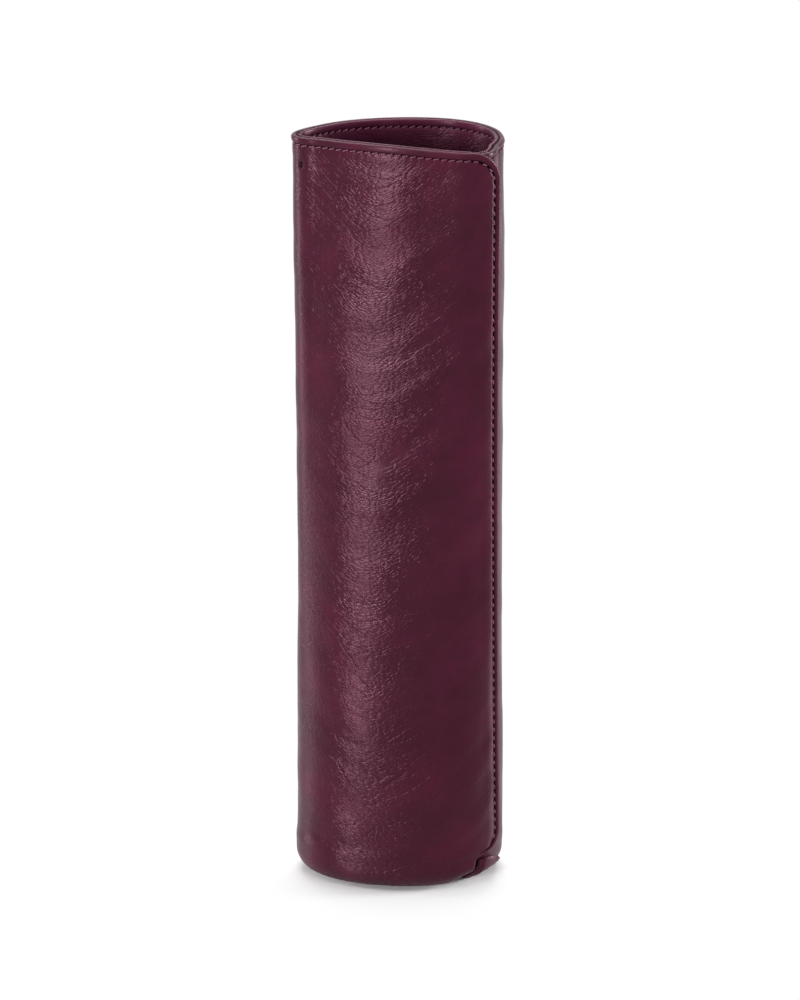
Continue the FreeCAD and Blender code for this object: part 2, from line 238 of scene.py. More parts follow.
# How the standing mouth departs from its plan: ways round the back panel from the flap's
# edge, and there how far the panel is tucked in under the flap and how far its rim dips.
mouth_ways = (-lap, 0.0, 6.0, 12.0, 20.0)
mouth_tucks = (0.0, 1.2, 2.1, 0.8, 0.0)
mouth_dips = (1.4, 1.2, 0.6, 0.2, 0.0)
mouth_reach = 45.0
# The whole mouth stands higher than planned, by more towards the back. The swells under it lift
# the front further still.
mouth_rise = 0.7
mouth_tilt = 0.017
# Fullness of the wall halfway up, and the flare of the fold as a mound over its place
waist_fullness = 0.3
fold_flare = (0.1, 1.0, 0.12)
# Swells of the front panel, each a mound over the way in from the flap's edge, with the
# height where it starts and the height it takes to reach its full size
front_swells = (
    ((2.0, 44.0, 20.0), 10.0, 50.0),
    ((2.0, 30.0, 15.0), 180.0, 60.0),
)
# Share of the swells by which the mouth above them is lifted, and how far down that reaches
swell_lift_share = 0.36
swell_lift_reach = 40.0


def standing(place, y, z):
    """How far a ply stands outward, and how far up, from its plan at places and heights."""
    front_length = np.interp(z, wall_levels, front_lengths)
    back_length = np.interp(z, wall_levels, back_lengths)
    way = place * np.where(place < 0, front_length, back_length)
    mouth = ease((z - height + mouth_reach) / mouth_reach)
    swell = 0.0
    for form, start, fade in front_swells:
        swell = swell + mound((2 - place) * front_length, *form) * ease((z - start) / fade)
    out = mouth * (mound(place, *fold_flare) - np.interp(way, mouth_ways, mouth_tucks))
    out = out + waist_fullness * np.sin(math.pi * wall_share(z)) + swell
    up = (mouth_rise + mouth_tilt * y) * (np.clip(z, 0, height) / height)**2
    up = up - mouth * np.interp(way, mouth_ways, mouth_dips)
    up = up + swell * swell_lift_share * ease((z - height + swell_lift_reach) / swell_lift_reach)
    return out, up


class Face:
    """One face of a ply, unrolled. Lengths along it run from its last way round the outline,
    over the front, the fold and the back, to its first."""

    def __init__(self, depth, lifted, first, last):
        """first and last are ways round the outline from the flap's edge, in millimetres."""
        self.depth = depth
        self.lifted = lifted
        self.tables = []
        for level, z in enumerate(wall_levels):
            low = first / front_lengths[level]
            high = 2 + last / front_lengths[level]
            places = np.linspace(high, low, face_samples)
            x, y, out_x, out_y = outline(places, z)
            depths = depth + self.lift(places, z)
            x, y = x + out_x * depths, y + out_y * depths
            steps = np.hypot(np.diff(x), np.diff(y))
            self.tables.append((np.concatenate(([0], np.cumsum(steps))), places))

    def lift(self, places, z):
        """How far the front panel lies outside the outline, where it laps over the back panel."""
        if not self.lifted:
            return np.zeros_like(places)
        to_edge = (2 - places) * np.interp(z, wall_levels, front_lengths)
        return lap_lift * ease((lap + lap_rise - to_edge) / lap_rise)

    def length_at(self, z):
        """Length of the whole face at heights."""
        return np.interp(z, wall_levels, [table[0][-1] for table in self.tables])

    def places(self, length, z):
        """Places on the outline for lengths along the face at heights."""
        found = np.array([np.interp(length, lengths, places) for lengths, places in self.tables])
        # Just under the last level, so that there is always a level above
        last = len(wall_levels) - 1.001
        level = np.clip((z - wall_levels[0]) / (wall_levels[1] - wall_levels[0]), 0, last)
        low = level.astype(int)
        rest = level - low
        columns = np.arange(length.size).reshape(length.shape)
        flat = found.reshape(len(self.tables), -1)
        return flat[low, columns] * (1 - rest) + flat[low + 1, columns] * rest

    def points(self, length, down, foot_radius=foot_edge, foot_z=0.0):
        """Points and outward vectors at lengths along the face and ways down from the mouth."""
        wall = height - foot_z - foot_radius
        turn = np.clip((down - wall) / foot_radius, 0, math.pi / 2)
        z = np.where(down < wall, height - down, foot_z + foot_radius * (1 - np.sin(turn)))
        inset = foot_radius * (1 - np.cos(turn))
        place = self.places(length, z)
        x, y, out_x, out_y = outline(place, z)
        stand, up = standing(place, y, z)
        depth = self.depth + self.lift(place, z) * np.cos(turn) - inset + stand
        point = np.stack([x + out_x * depth, y + out_y * depth, z + up], -1)
        out = np.stack([out_x * np.cos(turn), out_y * np.cos(turn), -np.sin(turn)], -1)
        share = np.clip((down - wall - foot_radius * math.pi / 2) / foot_back, 0, 1)[..., None]
        seam = np.stack([np.clip(x, -base_seam_half, base_seam_half),
                         np.sign(out_y) * base_seam_half_gap, np.full_like(z, foot_z)], -1)
        return point * (1 - share) + seam * share, out


outer_face = Face(panel, True, -lap - flap_corner, 0.0)
lining_face = Face(0.0, True, -lap - flap_corner, 0.0)

# Where the flap ends at the foot: its lower corner is rounded, and below it the edge runs on
# as the crease of the folded corner.
foot_corner = 7.5
foot_corner_z = 12.8
corner_crease_top = 11.3
corner_crease_lean = 0.1
corner_crease_start = 2.6


def flap_shift(z):
    """How far left of its straight line the flap's edge lies at a height."""
    rise = np.clip((foot_corner_z + foot_corner - z) / foot_corner, 0, 1)
    rounded = foot_corner * (1 - np.sqrt(1 - rise**2))
    below = foot_corner_z - z
    crease = corner_crease_top + below * corner_crease_lean
    folded = foot_corner + (crease - foot_corner) * ease(below / corner_crease_start)
    return np.where(z > foot_corner_z, rounded, folded)


noise_cells = 64


def value_noise(x, y, seed):
    """Smooth noise from -1 to 1 with features about one unit apart, the same on each run."""
    table = np.random.RandomState(seed).rand(noise_cells, noise_cells) * 2 - 1
    column, row = np.floor(x).astype(int), np.floor(y).astype(int)
    share_x, share_y = ease(x - column), ease(y - row)
    corners = [table[(row + r) % noise_cells, (column + c) % noise_cells] for r in (0, 1) for c in (0, 1)]
    low = corners[0] * (1 - share_x) + corners[1] * share_x
    high = corners[2] * (1 - share_x) + corners[3] * share_x
    return low * (1 - share_y) + high * share_y


# Sheets


def sheet_ways(radius, end, stretches, last_step, edge_steps=5):
    """Ways across a sheet at which it is sampled: its two half-round edges, and between them
    stretches given as (way, step), where each step holds up to that way and the last step to
    the far edge."""
    edge = [radius * (1 - math.cos(math.pi / 2 * step / edge_steps)) for step in range(edge_steps + 1)]
    ways, start = list(edge), radius
    for stop, step in (*stretches, (end - radius, last_step)):
        count = max(1, round(abs(stop - start) / step))
        ways += [start + (stop - start) * index / count for index in range(1, count + 1)]
        start = stop
    return np.array(ways + [end - way for way in reversed(edge[:-1])])


def round_corner(length, down, radius):
    """Moves a square grid's corner onto a round one. Gives the new place and its way in from the edge."""
    near = (length < radius) & (down < radius)
    across = np.clip((radius - length) / radius, 0, 1)
    rise = np.clip((radius - down) / radius, 0, 1)
    x, y = across * np.sqrt(1 - rise**2 / 2), rise * np.sqrt(1 - across**2 / 2)
    edge = np.where(near, radius * (1 - np.hypot(x, y)), np.minimum(length, down))
    return np.where(near, radius * (1 - x), length), np.where(near, radius * (1 - y), down), edge


def build_mesh(name, points, faces, maps):
    """A smooth mesh in metres. maps holds each UV layer's values, one pair for each point."""
    mesh = bpy.data.meshes.new(name)
    mesh.from_pydata(((np.asarray(points) - footprint_middle) * mm).tolist(), [], faces)
    corner_points = np.zeros(len(mesh.loops), int)
    mesh.loops.foreach_get("vertex_index", corner_points)
    for label, values in maps.items():
        layer = mesh.uv_layers.new(name=label)
        layer.data.foreach_set("uv", np.asarray(values, np.float32)[corner_points].ravel())
    mesh.polygons.foreach_set("use_smooth", np.ones(len(mesh.polygons), bool))
    mesh.update()
    piece = bpy.data.objects.new(name, mesh)
    bpy.context.scene.collection.objects.link(piece)
    return piece


def kept_indexes(count, stride, border):
    """Every index near both ends, and every few in between."""
    middle = list(range(border, count - border, stride))
    return list(range(border)) + middle + list(range(count - border, count))


def closed_sheet(name, near, far, maps, row_stride, column_stride, border=7, flip=False):
    """Closed mesh of a thin sheet from two grids of points that meet along their border.

    The far face hardly shows, so inside its border it keeps only every few rows and columns."""
    rows, columns = near.shape[:2]
    keep_rows = kept_indexes(rows, row_stride, border)
    keep_columns = kept_indexes(columns, column_stride, border)
    index = np.arange(rows * columns).reshape(rows, columns)
    quads = np.stack([index[:-1, :-1], index[:-1, 1:], index[1:, 1:], index[1:, :-1]], -1).reshape(-1, 4)
    faces = quads.tolist()
    inner_rows, inner_columns = keep_rows[1:-1], keep_columns[1:-1]
    kept = np.ix_(inner_rows, inner_columns)
    far_count = len(inner_rows) * len(inner_columns)
    far_index = index.copy()
    far_index[kept] = index.size + np.arange(far_count).reshape(len(inner_rows), -1)
    points = np.concatenate([near.reshape(-1, 3), far[kept].reshape(-1, 3)])
    values = {label: np.concatenate([value.reshape(-1, 2), value[kept].reshape(-1, 2)])
              for label, value in maps.items()}
    for top, bottom in zip(keep_rows, keep_rows[1:]):
        for left, right in zip(keep_columns, keep_columns[1:]):
            across = range(left, right) if top == 0 else [left]
            downward = range(top, bottom) if right == columns - 1 else [top]
            back = range(right, left, -1) if bottom == rows - 1 else [right]
            upward = range(bottom, top, -1) if left == 0 else [bottom]
            ring = ([far_index[top, c] for c in across] + [far_index[r, right] for r in downward]
                    + [far_index[bottom, c] for c in back] + [far_index[r, left] for r in upward])
            faces.append([int(corner) for corner in reversed(ring)])
    if flip:
        faces = [face[::-1] for face in faces]
    return build_mesh(name, points, faces, values)


# Relief of the leather. A form given as three numbers is a mound: its height, middle and reach.

# Bead of a turned edge, which runs from outside the edge to just short of the seam. It
# thickens the rounded edge, and that fades out by its end.
edge_bead = 0.4
lining_bead = 0.2
bead_start = -0.7
bead_width = 3.3
bead_end = 6.0
bead_fade = 3.0

# The seam by the way in from the edge: its groove, the pucker at each hole and the swell
# inside it. The thinner lining shows a share of them.
seam_groove = (-0.3, seam_inset - 0.15, 0.5)
seam_pucker = (-0.05, seam_inset + 0.4, 1.0)
seam_swell = (0.08, seam_inset + 2.6, 1.6)
lining_seam_share = 0.8


def bead_radius(ply, bead, edge):
    """Half the thickness of a ply's rounded edge, with its bead."""
    return (ply + bead * ease((bead_end - edge) / bead_fade)) / 2


def rounding(edge, radius):
    """How far a rounded edge has fallen below its face."""
    inside = np.clip(radius - edge, 0, radius)
    return radius - np.sqrt(radius**2 - inside**2)


def seam_place(length, down):
    """Stitches along the seam, counted from the start of the flap's corner."""
    near = (length < flap_corner) & (down < flap_corner)
    angle = np.arctan2(flap_corner - length, flap_corner - down)
    bend = (flap_corner - seam_inset) * math.pi / 2
    on_flap = (bend + down - flap_corner) / flap_pitch
    along = np.where(length > down, (flap_corner - length) / rim_pitch, on_flap)
    return np.where(near, angle * (flap_corner - seam_inset) / flap_pitch, along)


def seam_relief(stitch, edge):
    """Turned edge's bead, and the groove of the stitching, which draws the leather in at each hole."""
    bead = edge_bead * np.sin(math.pi * np.clip((edge - bead_start) / bead_width, 0, 1))
    pucker = mound(edge, *seam_pucker) * np.cos(2 * math.pi * stitch)
    return bead + mound(edge, *seam_groove) + pucker + mound(edge, *seam_swell)


# The creases sag in a V that is rounded at its lowest length
highlight_length = 44.0
sag_slope = 0.72
sag_round = 10.0

# Random waves of the leather, as (length, height and depth of a wave, start, seed)
long_folds = (34.0, 9.0, 0.38, 5, 3)
short_folds = (15.0, 4.5, 0.13, 1, 4)
slow_dents = (30.0, 38.0, 0.3, 9, 5)
lining_dents = (16.0, 10.0, 0.16, 0, 11)

# From the left of the front on and round the back, the folds lose a share of their depth
smooth_start = 56.0
smooth_fade = 18.0
smooth_share = 0.65


def sagging(length, z):
    """Height of a point after the creases' V shape is straightened out."""
    return z - sag_slope * np.hypot(length - highlight_length, sag_round)


def uneven(length, level, waves):
    """Height of one kind of random waves at lengths and levels."""
    long, tall, depth, start, seed = waves
    return value_noise(length / long + start, level / tall, seed) * depth


def wall_relief(length, z):
    """Soft unevenness of the standing leather: long shallow V folds over slow dents."""
    level = sagging(length, z)
    folds = uneven(length, level, long_folds) + uneven(length, level, short_folds)
    smooth = smooth_share * ease((length - smooth_start) / smooth_fade)
    return folds * (1 - smooth) + uneven(length, z, slow_dents)


# Long creases, as (start, end, depth), each end a length along the face and a height
creases = (
    ((65.5, 60.5), (47.0, 54.5), 0.35),
    ((45.5, 39.5), (32.0, 52.0), 0.32),
    ((30.0, 56.0), (19.0, 67.0), 0.16),
    ((60.0, 70.0), (42.0, 63.5), 0.16),
    ((47.0, 31.5), (30.0, 30.0), 0.2),
    ((57.0, 101.0), (46.0, 93.0), 0.14),
    ((27.0, 179.0), (18.0, 190.0), 0.14),
    ((52.0, 222.0), (38.0, 217.0), 0.16),
    ((31.0, 222.0), (21.0, 229.0), 0.14),
)
# A crease sags by a share of its length and fades out at its ends. Across it lie its valley
# and the lip above that, as mounds in shares of its depth.
crease_sag_share = 0.07
crease_end_share = 0.02
crease_valley = (-1.0, 0.0, 0.5)
crease_lip = (0.5, 1.1, 0.8)


def crease_relief(length, z):
    """Sharp long creases: a fine valley with a lip above it."""
    total = np.zeros_like(length)
    for (start_length, start_z), (end_length, end_z), depth in creases:
        along = np.array((end_length - start_length, end_z - start_z))
        size = np.hypot(*along)
        away_x, away_z = length - start_length, z - start_z
        share = np.clip((away_x * along[0] + away_z * along[1]) / size**2, 0, 1)
        sag = -4 * share * (1 - share) * crease_sag_share * size
        above = (away_x * along[1] - away_z * along[0]) / size * math.copysign(1, -along[0])
        beyond = np.hypot(away_x - share * along[0], away_z - share * along[1])
        beside = np.where((share > 0) & (share < 1), np.abs(above - sag), np.maximum(beyond, np.abs(sag)))
        side = np.where(above > sag, 1.0, -1.0)
        fade = np.sin(math.pi * np.clip(share, crease_end_share, 1 - crease_end_share))
        total += depth * fade * (mound(beside, *crease_valley) + mound(beside * side, *crease_lip))
    return total


# Ear of the folded corner: the height of its upper edge behind the flap's line, how much
# that rises in front of it, and over which way
ear_low = 1.0
ear_rise = 9.0
ear_rise_way = 13.0

# Tapers of the boxed corner, each a mound over the way back from the flap's edge, with the
# height where it starts, and the height over which both come in
corner_pulls = (((-0.8, 1.0, 13.0), 15.0), ((-5.2, -7.0, 9.0), 8.0))
corner_pull_fade = 8.0

# Fullness of the boxed foot, which comes in under its top and leaves out the sewn corner
full_top = 17.0
full_fade = 5.0
full_bare = (1.0, 3.0, 12.0)

# The foot's dent at the left and its leaning pull at the right, along the face and up
left_dent, left_dent_up = (-0.5, 68.0, 6.0), (1.0, 17.0, 3.0)
pull_middle = 20.0
pull_lean = 0.25
right_pull, right_pull_up = (-0.4, pull_middle, 8.0), (1.0, 10.0, 2.2)

# Tuck of the back strip behind the ear's upper edge, and the ways where it starts and ends
ear_tuck = (-0.9, 0.5, 0.9)
tuck_start, tuck_start_fade = -22.0, 4.0
tuck_end, tuck_end_fade = 8.0, 6.0


def ear_top(beside):
    """Height of the folded ear's upper edge, by how far it lies in front of the flap's line."""
    return ear_low + ear_rise * ease(beside / ear_rise_way)


def corner_pull(way, z):
    """Taper of the boxed corner under the flap. way runs back from the flap's edge, less in front."""
    return sum(mound(way, *form) * ease((top - z) / corner_pull_fade) for form, top in corner_pulls)


def foot_relief(length, way, z, hidden):
    """Fullness over the boxed foot, its soft dent at the left and the tucked right corner."""
    full = foot_fullness * ease((full_top - z) / full_fade) * (1 - mound(way, *full_bare))
    dent = mound(length, *left_dent) * mound(z, *left_dent_up)
    pull = mound(length, *right_pull) * mound(z + (length - pull_middle) * pull_lean, *right_pull_up)
    tuck = mound(z - ear_top(-way), *ear_tuck) * ease((way - tuck_start) / tuck_start_fade)
    tuck = tuck * ease((tuck_end - way) / tuck_end_fade)
    return full + dent + pull + tuck * hidden + corner_pull(way, z)


# Outer leather

# The hidden edge under the flap runs further at the foot, and the flap's own edge shifts only
# the sheet near it
hidden_extra = 6.5
hidden_extra_top = 22.0
hidden_extra_fade = 8.0
shift_reach = 34.0

# The wall's own relief comes in from the edge inwards and from the floor up. All relief
# dies out at the hidden edge and before the base.
calm_edge, calm_edge_fade = 3.0, 6.0
calm_foot, calm_foot_fade = 4.0, 10.0
hidden_fade_start, hidden_fade = 1.0, 4.0
base_fade = 8.0

# Small tack beside the fold, as a length and a way down. It pulls a dimple taller than wide,
# with its hole painted dark as shade, so ways from it along the face and down count by shares.
tack_spot = (70.8, 9.3)
tack_shares = (0.6, 0.36)
tack_dimple = (-0.3, 0.0, 0.5)
tack_reach = 2.0


def unrolled_length(face, length, z):
    """Length along a face for a length on the flat sheet, whose two ends follow the flap's
    edge and the hidden edge under it."""
    flat = float(face.length_at(height)) - flap_corner
    extra = hidden_extra * ease((hidden_extra_top - z) / hidden_extra_fade)
    hidden = face.length_at(z) - flap_corner + extra
    return length + (hidden - flat) * ease(length / flat) + flap_shift(z) * (1 - ease(length / shift_reach))


outer_nominal = float(outer_face.length_at(height) - flap_corner)
outer_wall_end = height - foot_edge
outer_turn_end = outer_wall_end + foot_edge * math.pi / 2
outer_base_end = outer_turn_end + foot_back


def outer_surface(length, down, edge):
    """Outer face of the leather at places on the flat sheet. Gives points, outward vectors,
    relief, how far the edge is rounded off, and maps."""
    z = np.clip(height - down, -foot_edge, height)
    stitch = seam_place(length, down)
    to_hidden = outer_nominal - length
    on_back = length > outer_nominal / 2
    unrolled = unrolled_length(outer_face, length, z)
    behind_flap = outer_face.length_at(z) - flap_corner - lap - unrolled
    way = np.where(on_back, behind_flap, -unrolled)
    border = np.minimum(np.minimum(edge, to_hidden), outer_base_end - down)
    sewn = np.where(z > foot_corner_z, edge, flap_corner)
    calm = ease((edge - calm_edge) / calm_edge_fade) * ease((z - calm_foot) / calm_foot_fade)
    from_tack = np.hypot((length - tack_spot[0]) * tack_shares[0], (down - tack_spot[1]) * tack_shares[1])
    relief = seam_relief(stitch, sewn) + (wall_relief(unrolled, z) + crease_relief(unrolled, z)) * calm
    relief = relief + mound(from_tack, *tack_dimple) + foot_relief(unrolled, way, z, on_back)
    relief = relief * ease((to_hidden + hidden_fade_start) / hidden_fade)
    relief = relief * ease((outer_turn_end - down) / base_fade)
    fall = rounding(border, bead_radius(leather, edge_bead, edge))
    point, out = outer_face.points(unrolled, down)
    # The tack's hole is marked like a seam's, with painted shade
    stitch = np.where(from_tack < tack_reach, 0.0, stitch)
    sewn = np.where(from_tack < tack_reach, seam_inset + from_tack, sewn)
    maps = {"unrolled": np.stack([unrolled, z], -1) * mm, "seam": np.stack([stitch, sewn], -1)}
    return point, out, relief - fall, fall + np.minimum(corner_pull(way, z), 0), maps


def make_outer_leather():
    """Outer leather: one sheet from under the flap, round the back and front, to the flap's edge.
    It is finest along the edges and over the front, and coarse over the back."""
    radius = (leather + edge_bead) / 2
    columns = sheet_ways(radius, outer_nominal, (
        (5, 0.33), (14, 0.5), (78, 0.62), (92, 0.8), (168, 1.5), (outer_nominal - 3, 0.8)), last_step=0.6)
    rows = sheet_ways(radius, outer_base_end, (
        (5, 0.33), (12, 0.6), (236, 0.85), (248, 0.6), (255, 0.35), (outer_turn_end, 0.7)), last_step=1.6)
    length, down, edge = round_corner(*np.meshgrid(columns, rows), flap_corner)
    point, out, relief, fall, maps = outer_surface(length, down, edge)
    near = point + out * relief[..., None]
    far = point + out * (fall - leather)[..., None]
    return closed_sheet("outer_leather", near, far, maps, row_stride=12, column_stride=4)


# Lining

lining_nominal = float(lining_face.length_at(height)) - flap_corner
lining_turn = foot_edge - lining_bottom - lining_leather
lining_floor = lining_bottom + lining_leather
lining_turn_end = height - lining_floor - lining_turn + lining_turn * math.pi / 2
lining_base_end = lining_turn_end + foot_back
lining_calm_edge, lining_calm_fade = 4.0, 10.0


def lining_surface(length, down, edge):
    """Inner face of the lining at places on its flat sheet, with its relief into the sleeve."""
    z = np.clip(height - down, 0, height)
    stitch = seam_place(length, down)
    unrolled = unrolled_length(lining_face, length, z)
    dents = uneven(length, z, lining_dents) * ease((edge - lining_calm_edge) / lining_calm_fade)
    relief = lining_seam_share * seam_relief(stitch, edge) + dents
    relief = relief * ease((lining_turn_end - down) / base_fade)
    border = np.minimum(edge, np.minimum(lining_nominal - length, lining_base_end - down))
    fall = rounding(np.maximum(border, 0), bead_radius(lining_leather, lining_bead, edge))
    point, out = lining_face.points(unrolled, down, lining_turn, lining_floor)
    maps = {"unrolled": np.stack([unrolled, z], -1) * mm, "seam": np.stack([stitch, edge], -1)}
    return point, out, relief - fall, fall, maps


def make_lining():
    """Lining leather: cut like the outer leather, inside it, with its own base over the board.
    It is finest where the mouth shows it."""
    radius = (lining_leather + lining_bead) / 2
    columns = sheet_ways(radius, lining_nominal, (), last_step=0.8)
    rows = sheet_ways(radius, lining_base_end, (
        (5, 0.33), (60, 0.9), (lining_turn_end - base_fade, 3.0), (lining_turn_end, 1.0)), last_step=1.6)
    length, down, edge = round_corner(*np.meshgrid(columns, rows), flap_corner)
    point, out, relief, fall, maps = lining_surface(length, down, edge)
    near = point - out * relief[..., None]
    far = point + out * (lining_leather - fall)[..., None]
    return closed_sheet("lining", near, far, maps, row_stride=8, column_stride=3, flip=True)


# Hidden plies, in one gap behind the outer leather: the felt, cut back on all sides, and
# above it the tape in the turned edge of the mouth

ply_near = leather + ply_play
ply_far = ply_near + interlining_sheet
felt_inset = 4.7
tape_start = 12.0
tape_end_inset = 4.0
tape_top = 0.6
tape_bottom = 4.6


def make_ply(name, start, end, top, bottom):
    """One hidden ply along a stretch of the outer face, between two ways down."""
    radius = (ply_far - ply_near) / 2
    columns = sheet_ways(radius, end - start, (), last_step=1.6, edge_steps=3)
    rows = sheet_ways(radius, bottom - top, (), last_step=4.0, edge_steps=3)
    length, down, edge = round_corner(*np.meshgrid(columns, rows), flap_corner - start)
    border = np.minimum(edge, np.minimum(columns[-1] - length, rows[-1] - down))
    z = height - top - down
    unrolled = unrolled_length(outer_face, length + start, z)
    point, out = outer_face.points(unrolled, down + top)
    fall = rounding(border, radius)
    near = point - out * (ply_near + fall)[..., None]
    far = point - out * (ply_far - fall)[..., None]
    maps = {"unrolled": np.stack([unrolled, z], -1) * mm}
    return closed_sheet(name, near, far, maps, row_stride=4, column_stride=2, border=5)


# Fold of the boxed corner: how far it reaches in front of the flap's line and behind it, how
# deep it is folded in, how high its face stands, and half its thickness

ear_front = 18.5
ear_back = 13.0
ear_depth = 17.0
ear_face = 9.0
ear_half = 0.45
# Its front part leans forward by a share of the way down
ear_lean_share = 0.2
ear_lean_start, ear_lean_fade = 8.0, 8.0
# How far it stands out: less at its tip, sunk behind the flap's line, and swelling in front
ear_stand = 1.15
ear_tip = (-1.5, 0.0, 1.1)
ear_sink, ear_sink_way = 4.6, 9.0
ear_swell, ear_swell_start, ear_swell_fade = 1.2, 3.0, 6.0
ear_belly = 0.25

ring_reach = 26.0
ring_face = Face(panel + foot_fullness, False, -ring_reach, ring_reach)


def make_corner_fold():
    """Folded ear of the base at the right: tucked behind the front, standing over the back strip."""
    width = ear_front + ear_back
    columns = sheet_ways(ear_half, width, (), last_step=0.45)
    rows = sheet_ways(ear_half, ear_depth, ((12, 0.45),), last_step=1.0)
    way, drop = np.meshgrid(columns, rows)
    border = np.minimum(np.minimum(way, width - way), np.minimum(drop, ear_depth - drop))
    beside = way - ear_back
    lean = ear_lean_share * np.clip(drop, 0, ear_face) * ease((beside - ear_lean_start) / ear_lean_fade)
    length = ring_reach + beside + lean
    down = height - ear_top(beside) + drop
    z = height - down
    turn = np.clip((down - outer_wall_end) / foot_edge, 0, math.pi / 2)
    stand = ear_stand + mound(width - way, *ear_tip)
    stand = stand - ear_sink * ease((ear_sink_way - beside) / ear_sink_way)
    stand = stand + ear_swell * ease((beside - ear_swell_start) / ear_swell_fade)
    belly = ear_belly * np.sin(np.clip(drop / ear_face, 0, 1) * math.pi)
    lift = (stand + belly) * np.cos(turn)
    lift = lift + corner_pull(-beside, z) * ease((outer_turn_end - down) / base_fade)
    point, out = ring_face.points(length, down)
    fall = rounding(border, ear_half)
    near = point + out * (lift - fall)[..., None]
    far = point + out * (lift - 2 * ear_half + fall)[..., None]
    maps = {"unrolled": np.stack([length - ring_reach, z], -1) * mm,
            "seam": np.stack([np.zeros_like(z), np.full_like(z, flap_corner)], -1)}
    return closed_sheet("corner_fold", near, far, maps, row_stride=3, column_stride=2, flip=True)


# Sewing

# How far a stitch leans each way across its seam, and the gap between two stitches
rim_slant, rim_gap = 0.22, 1.0
flap_slant, flap_gap = 0.12, 2.0
lining_slant = 0.3

# Lap seam under the slit, the bar tack at its end and the tack beside the fold
lap_count = 70
bar_count, bar_pitch = 5, 0.6
bar_start, bar_end = 0.5, 2.5
tack_half = 0.3

# Seams of the two bases along X, and the tacks across each of their ends
base_count, base_pitch, base_stitch = 15, 3.2, 2.65
base_start = -24.0
corner_count, corner_start = 4, -6.4

# Thread on the face of a seam, and the thin thread that lies sunk in a tack
seam_thread = {"Thread thickness": thread * mm, "Rise": 0.22 * mm}
sunk_thread = {"Thread thickness": 0.16 * mm, "Rise": 0.02 * mm}


def seam_spot(stitch, inset):
    """Place on the flat leather at a stitch count along the seam, a way in from the edge."""
    radius = flap_corner - seam_inset
    bend = radius * math.pi / 2
    angle = np.clip(stitch * flap_pitch / radius, 0, math.pi / 2)
    length = flap_corner - (flap_corner - inset) * np.sin(angle) + np.maximum(-stitch, 0) * rim_pitch
    down = flap_corner - (flap_corner - inset) * np.cos(angle) + np.maximum(stitch * flap_pitch - bend, 0)
    return length, down


def outer_place(length, down):
    """Points and outward vectors on the finished outer leather."""
    point, out, relief, _, _ = outer_surface(length, down, np.minimum(length, down))
    return point + out * relief[..., None], out


def inner_place(length, down):
    """Points on the lining, and the vectors that lead into the sleeve."""
    point, out, relief, _, _ = lining_surface(length, down, np.minimum(length, down))
    return point - out * relief[..., None], -out


def floor_place(x, y, z):
    """Points on a level face inside the sleeve, with the vector up."""
    point = np.stack([x, y, np.full_like(x, z)], -1)
    return point, np.tile((0.0, 0.0, 1.0), (len(x), 1))


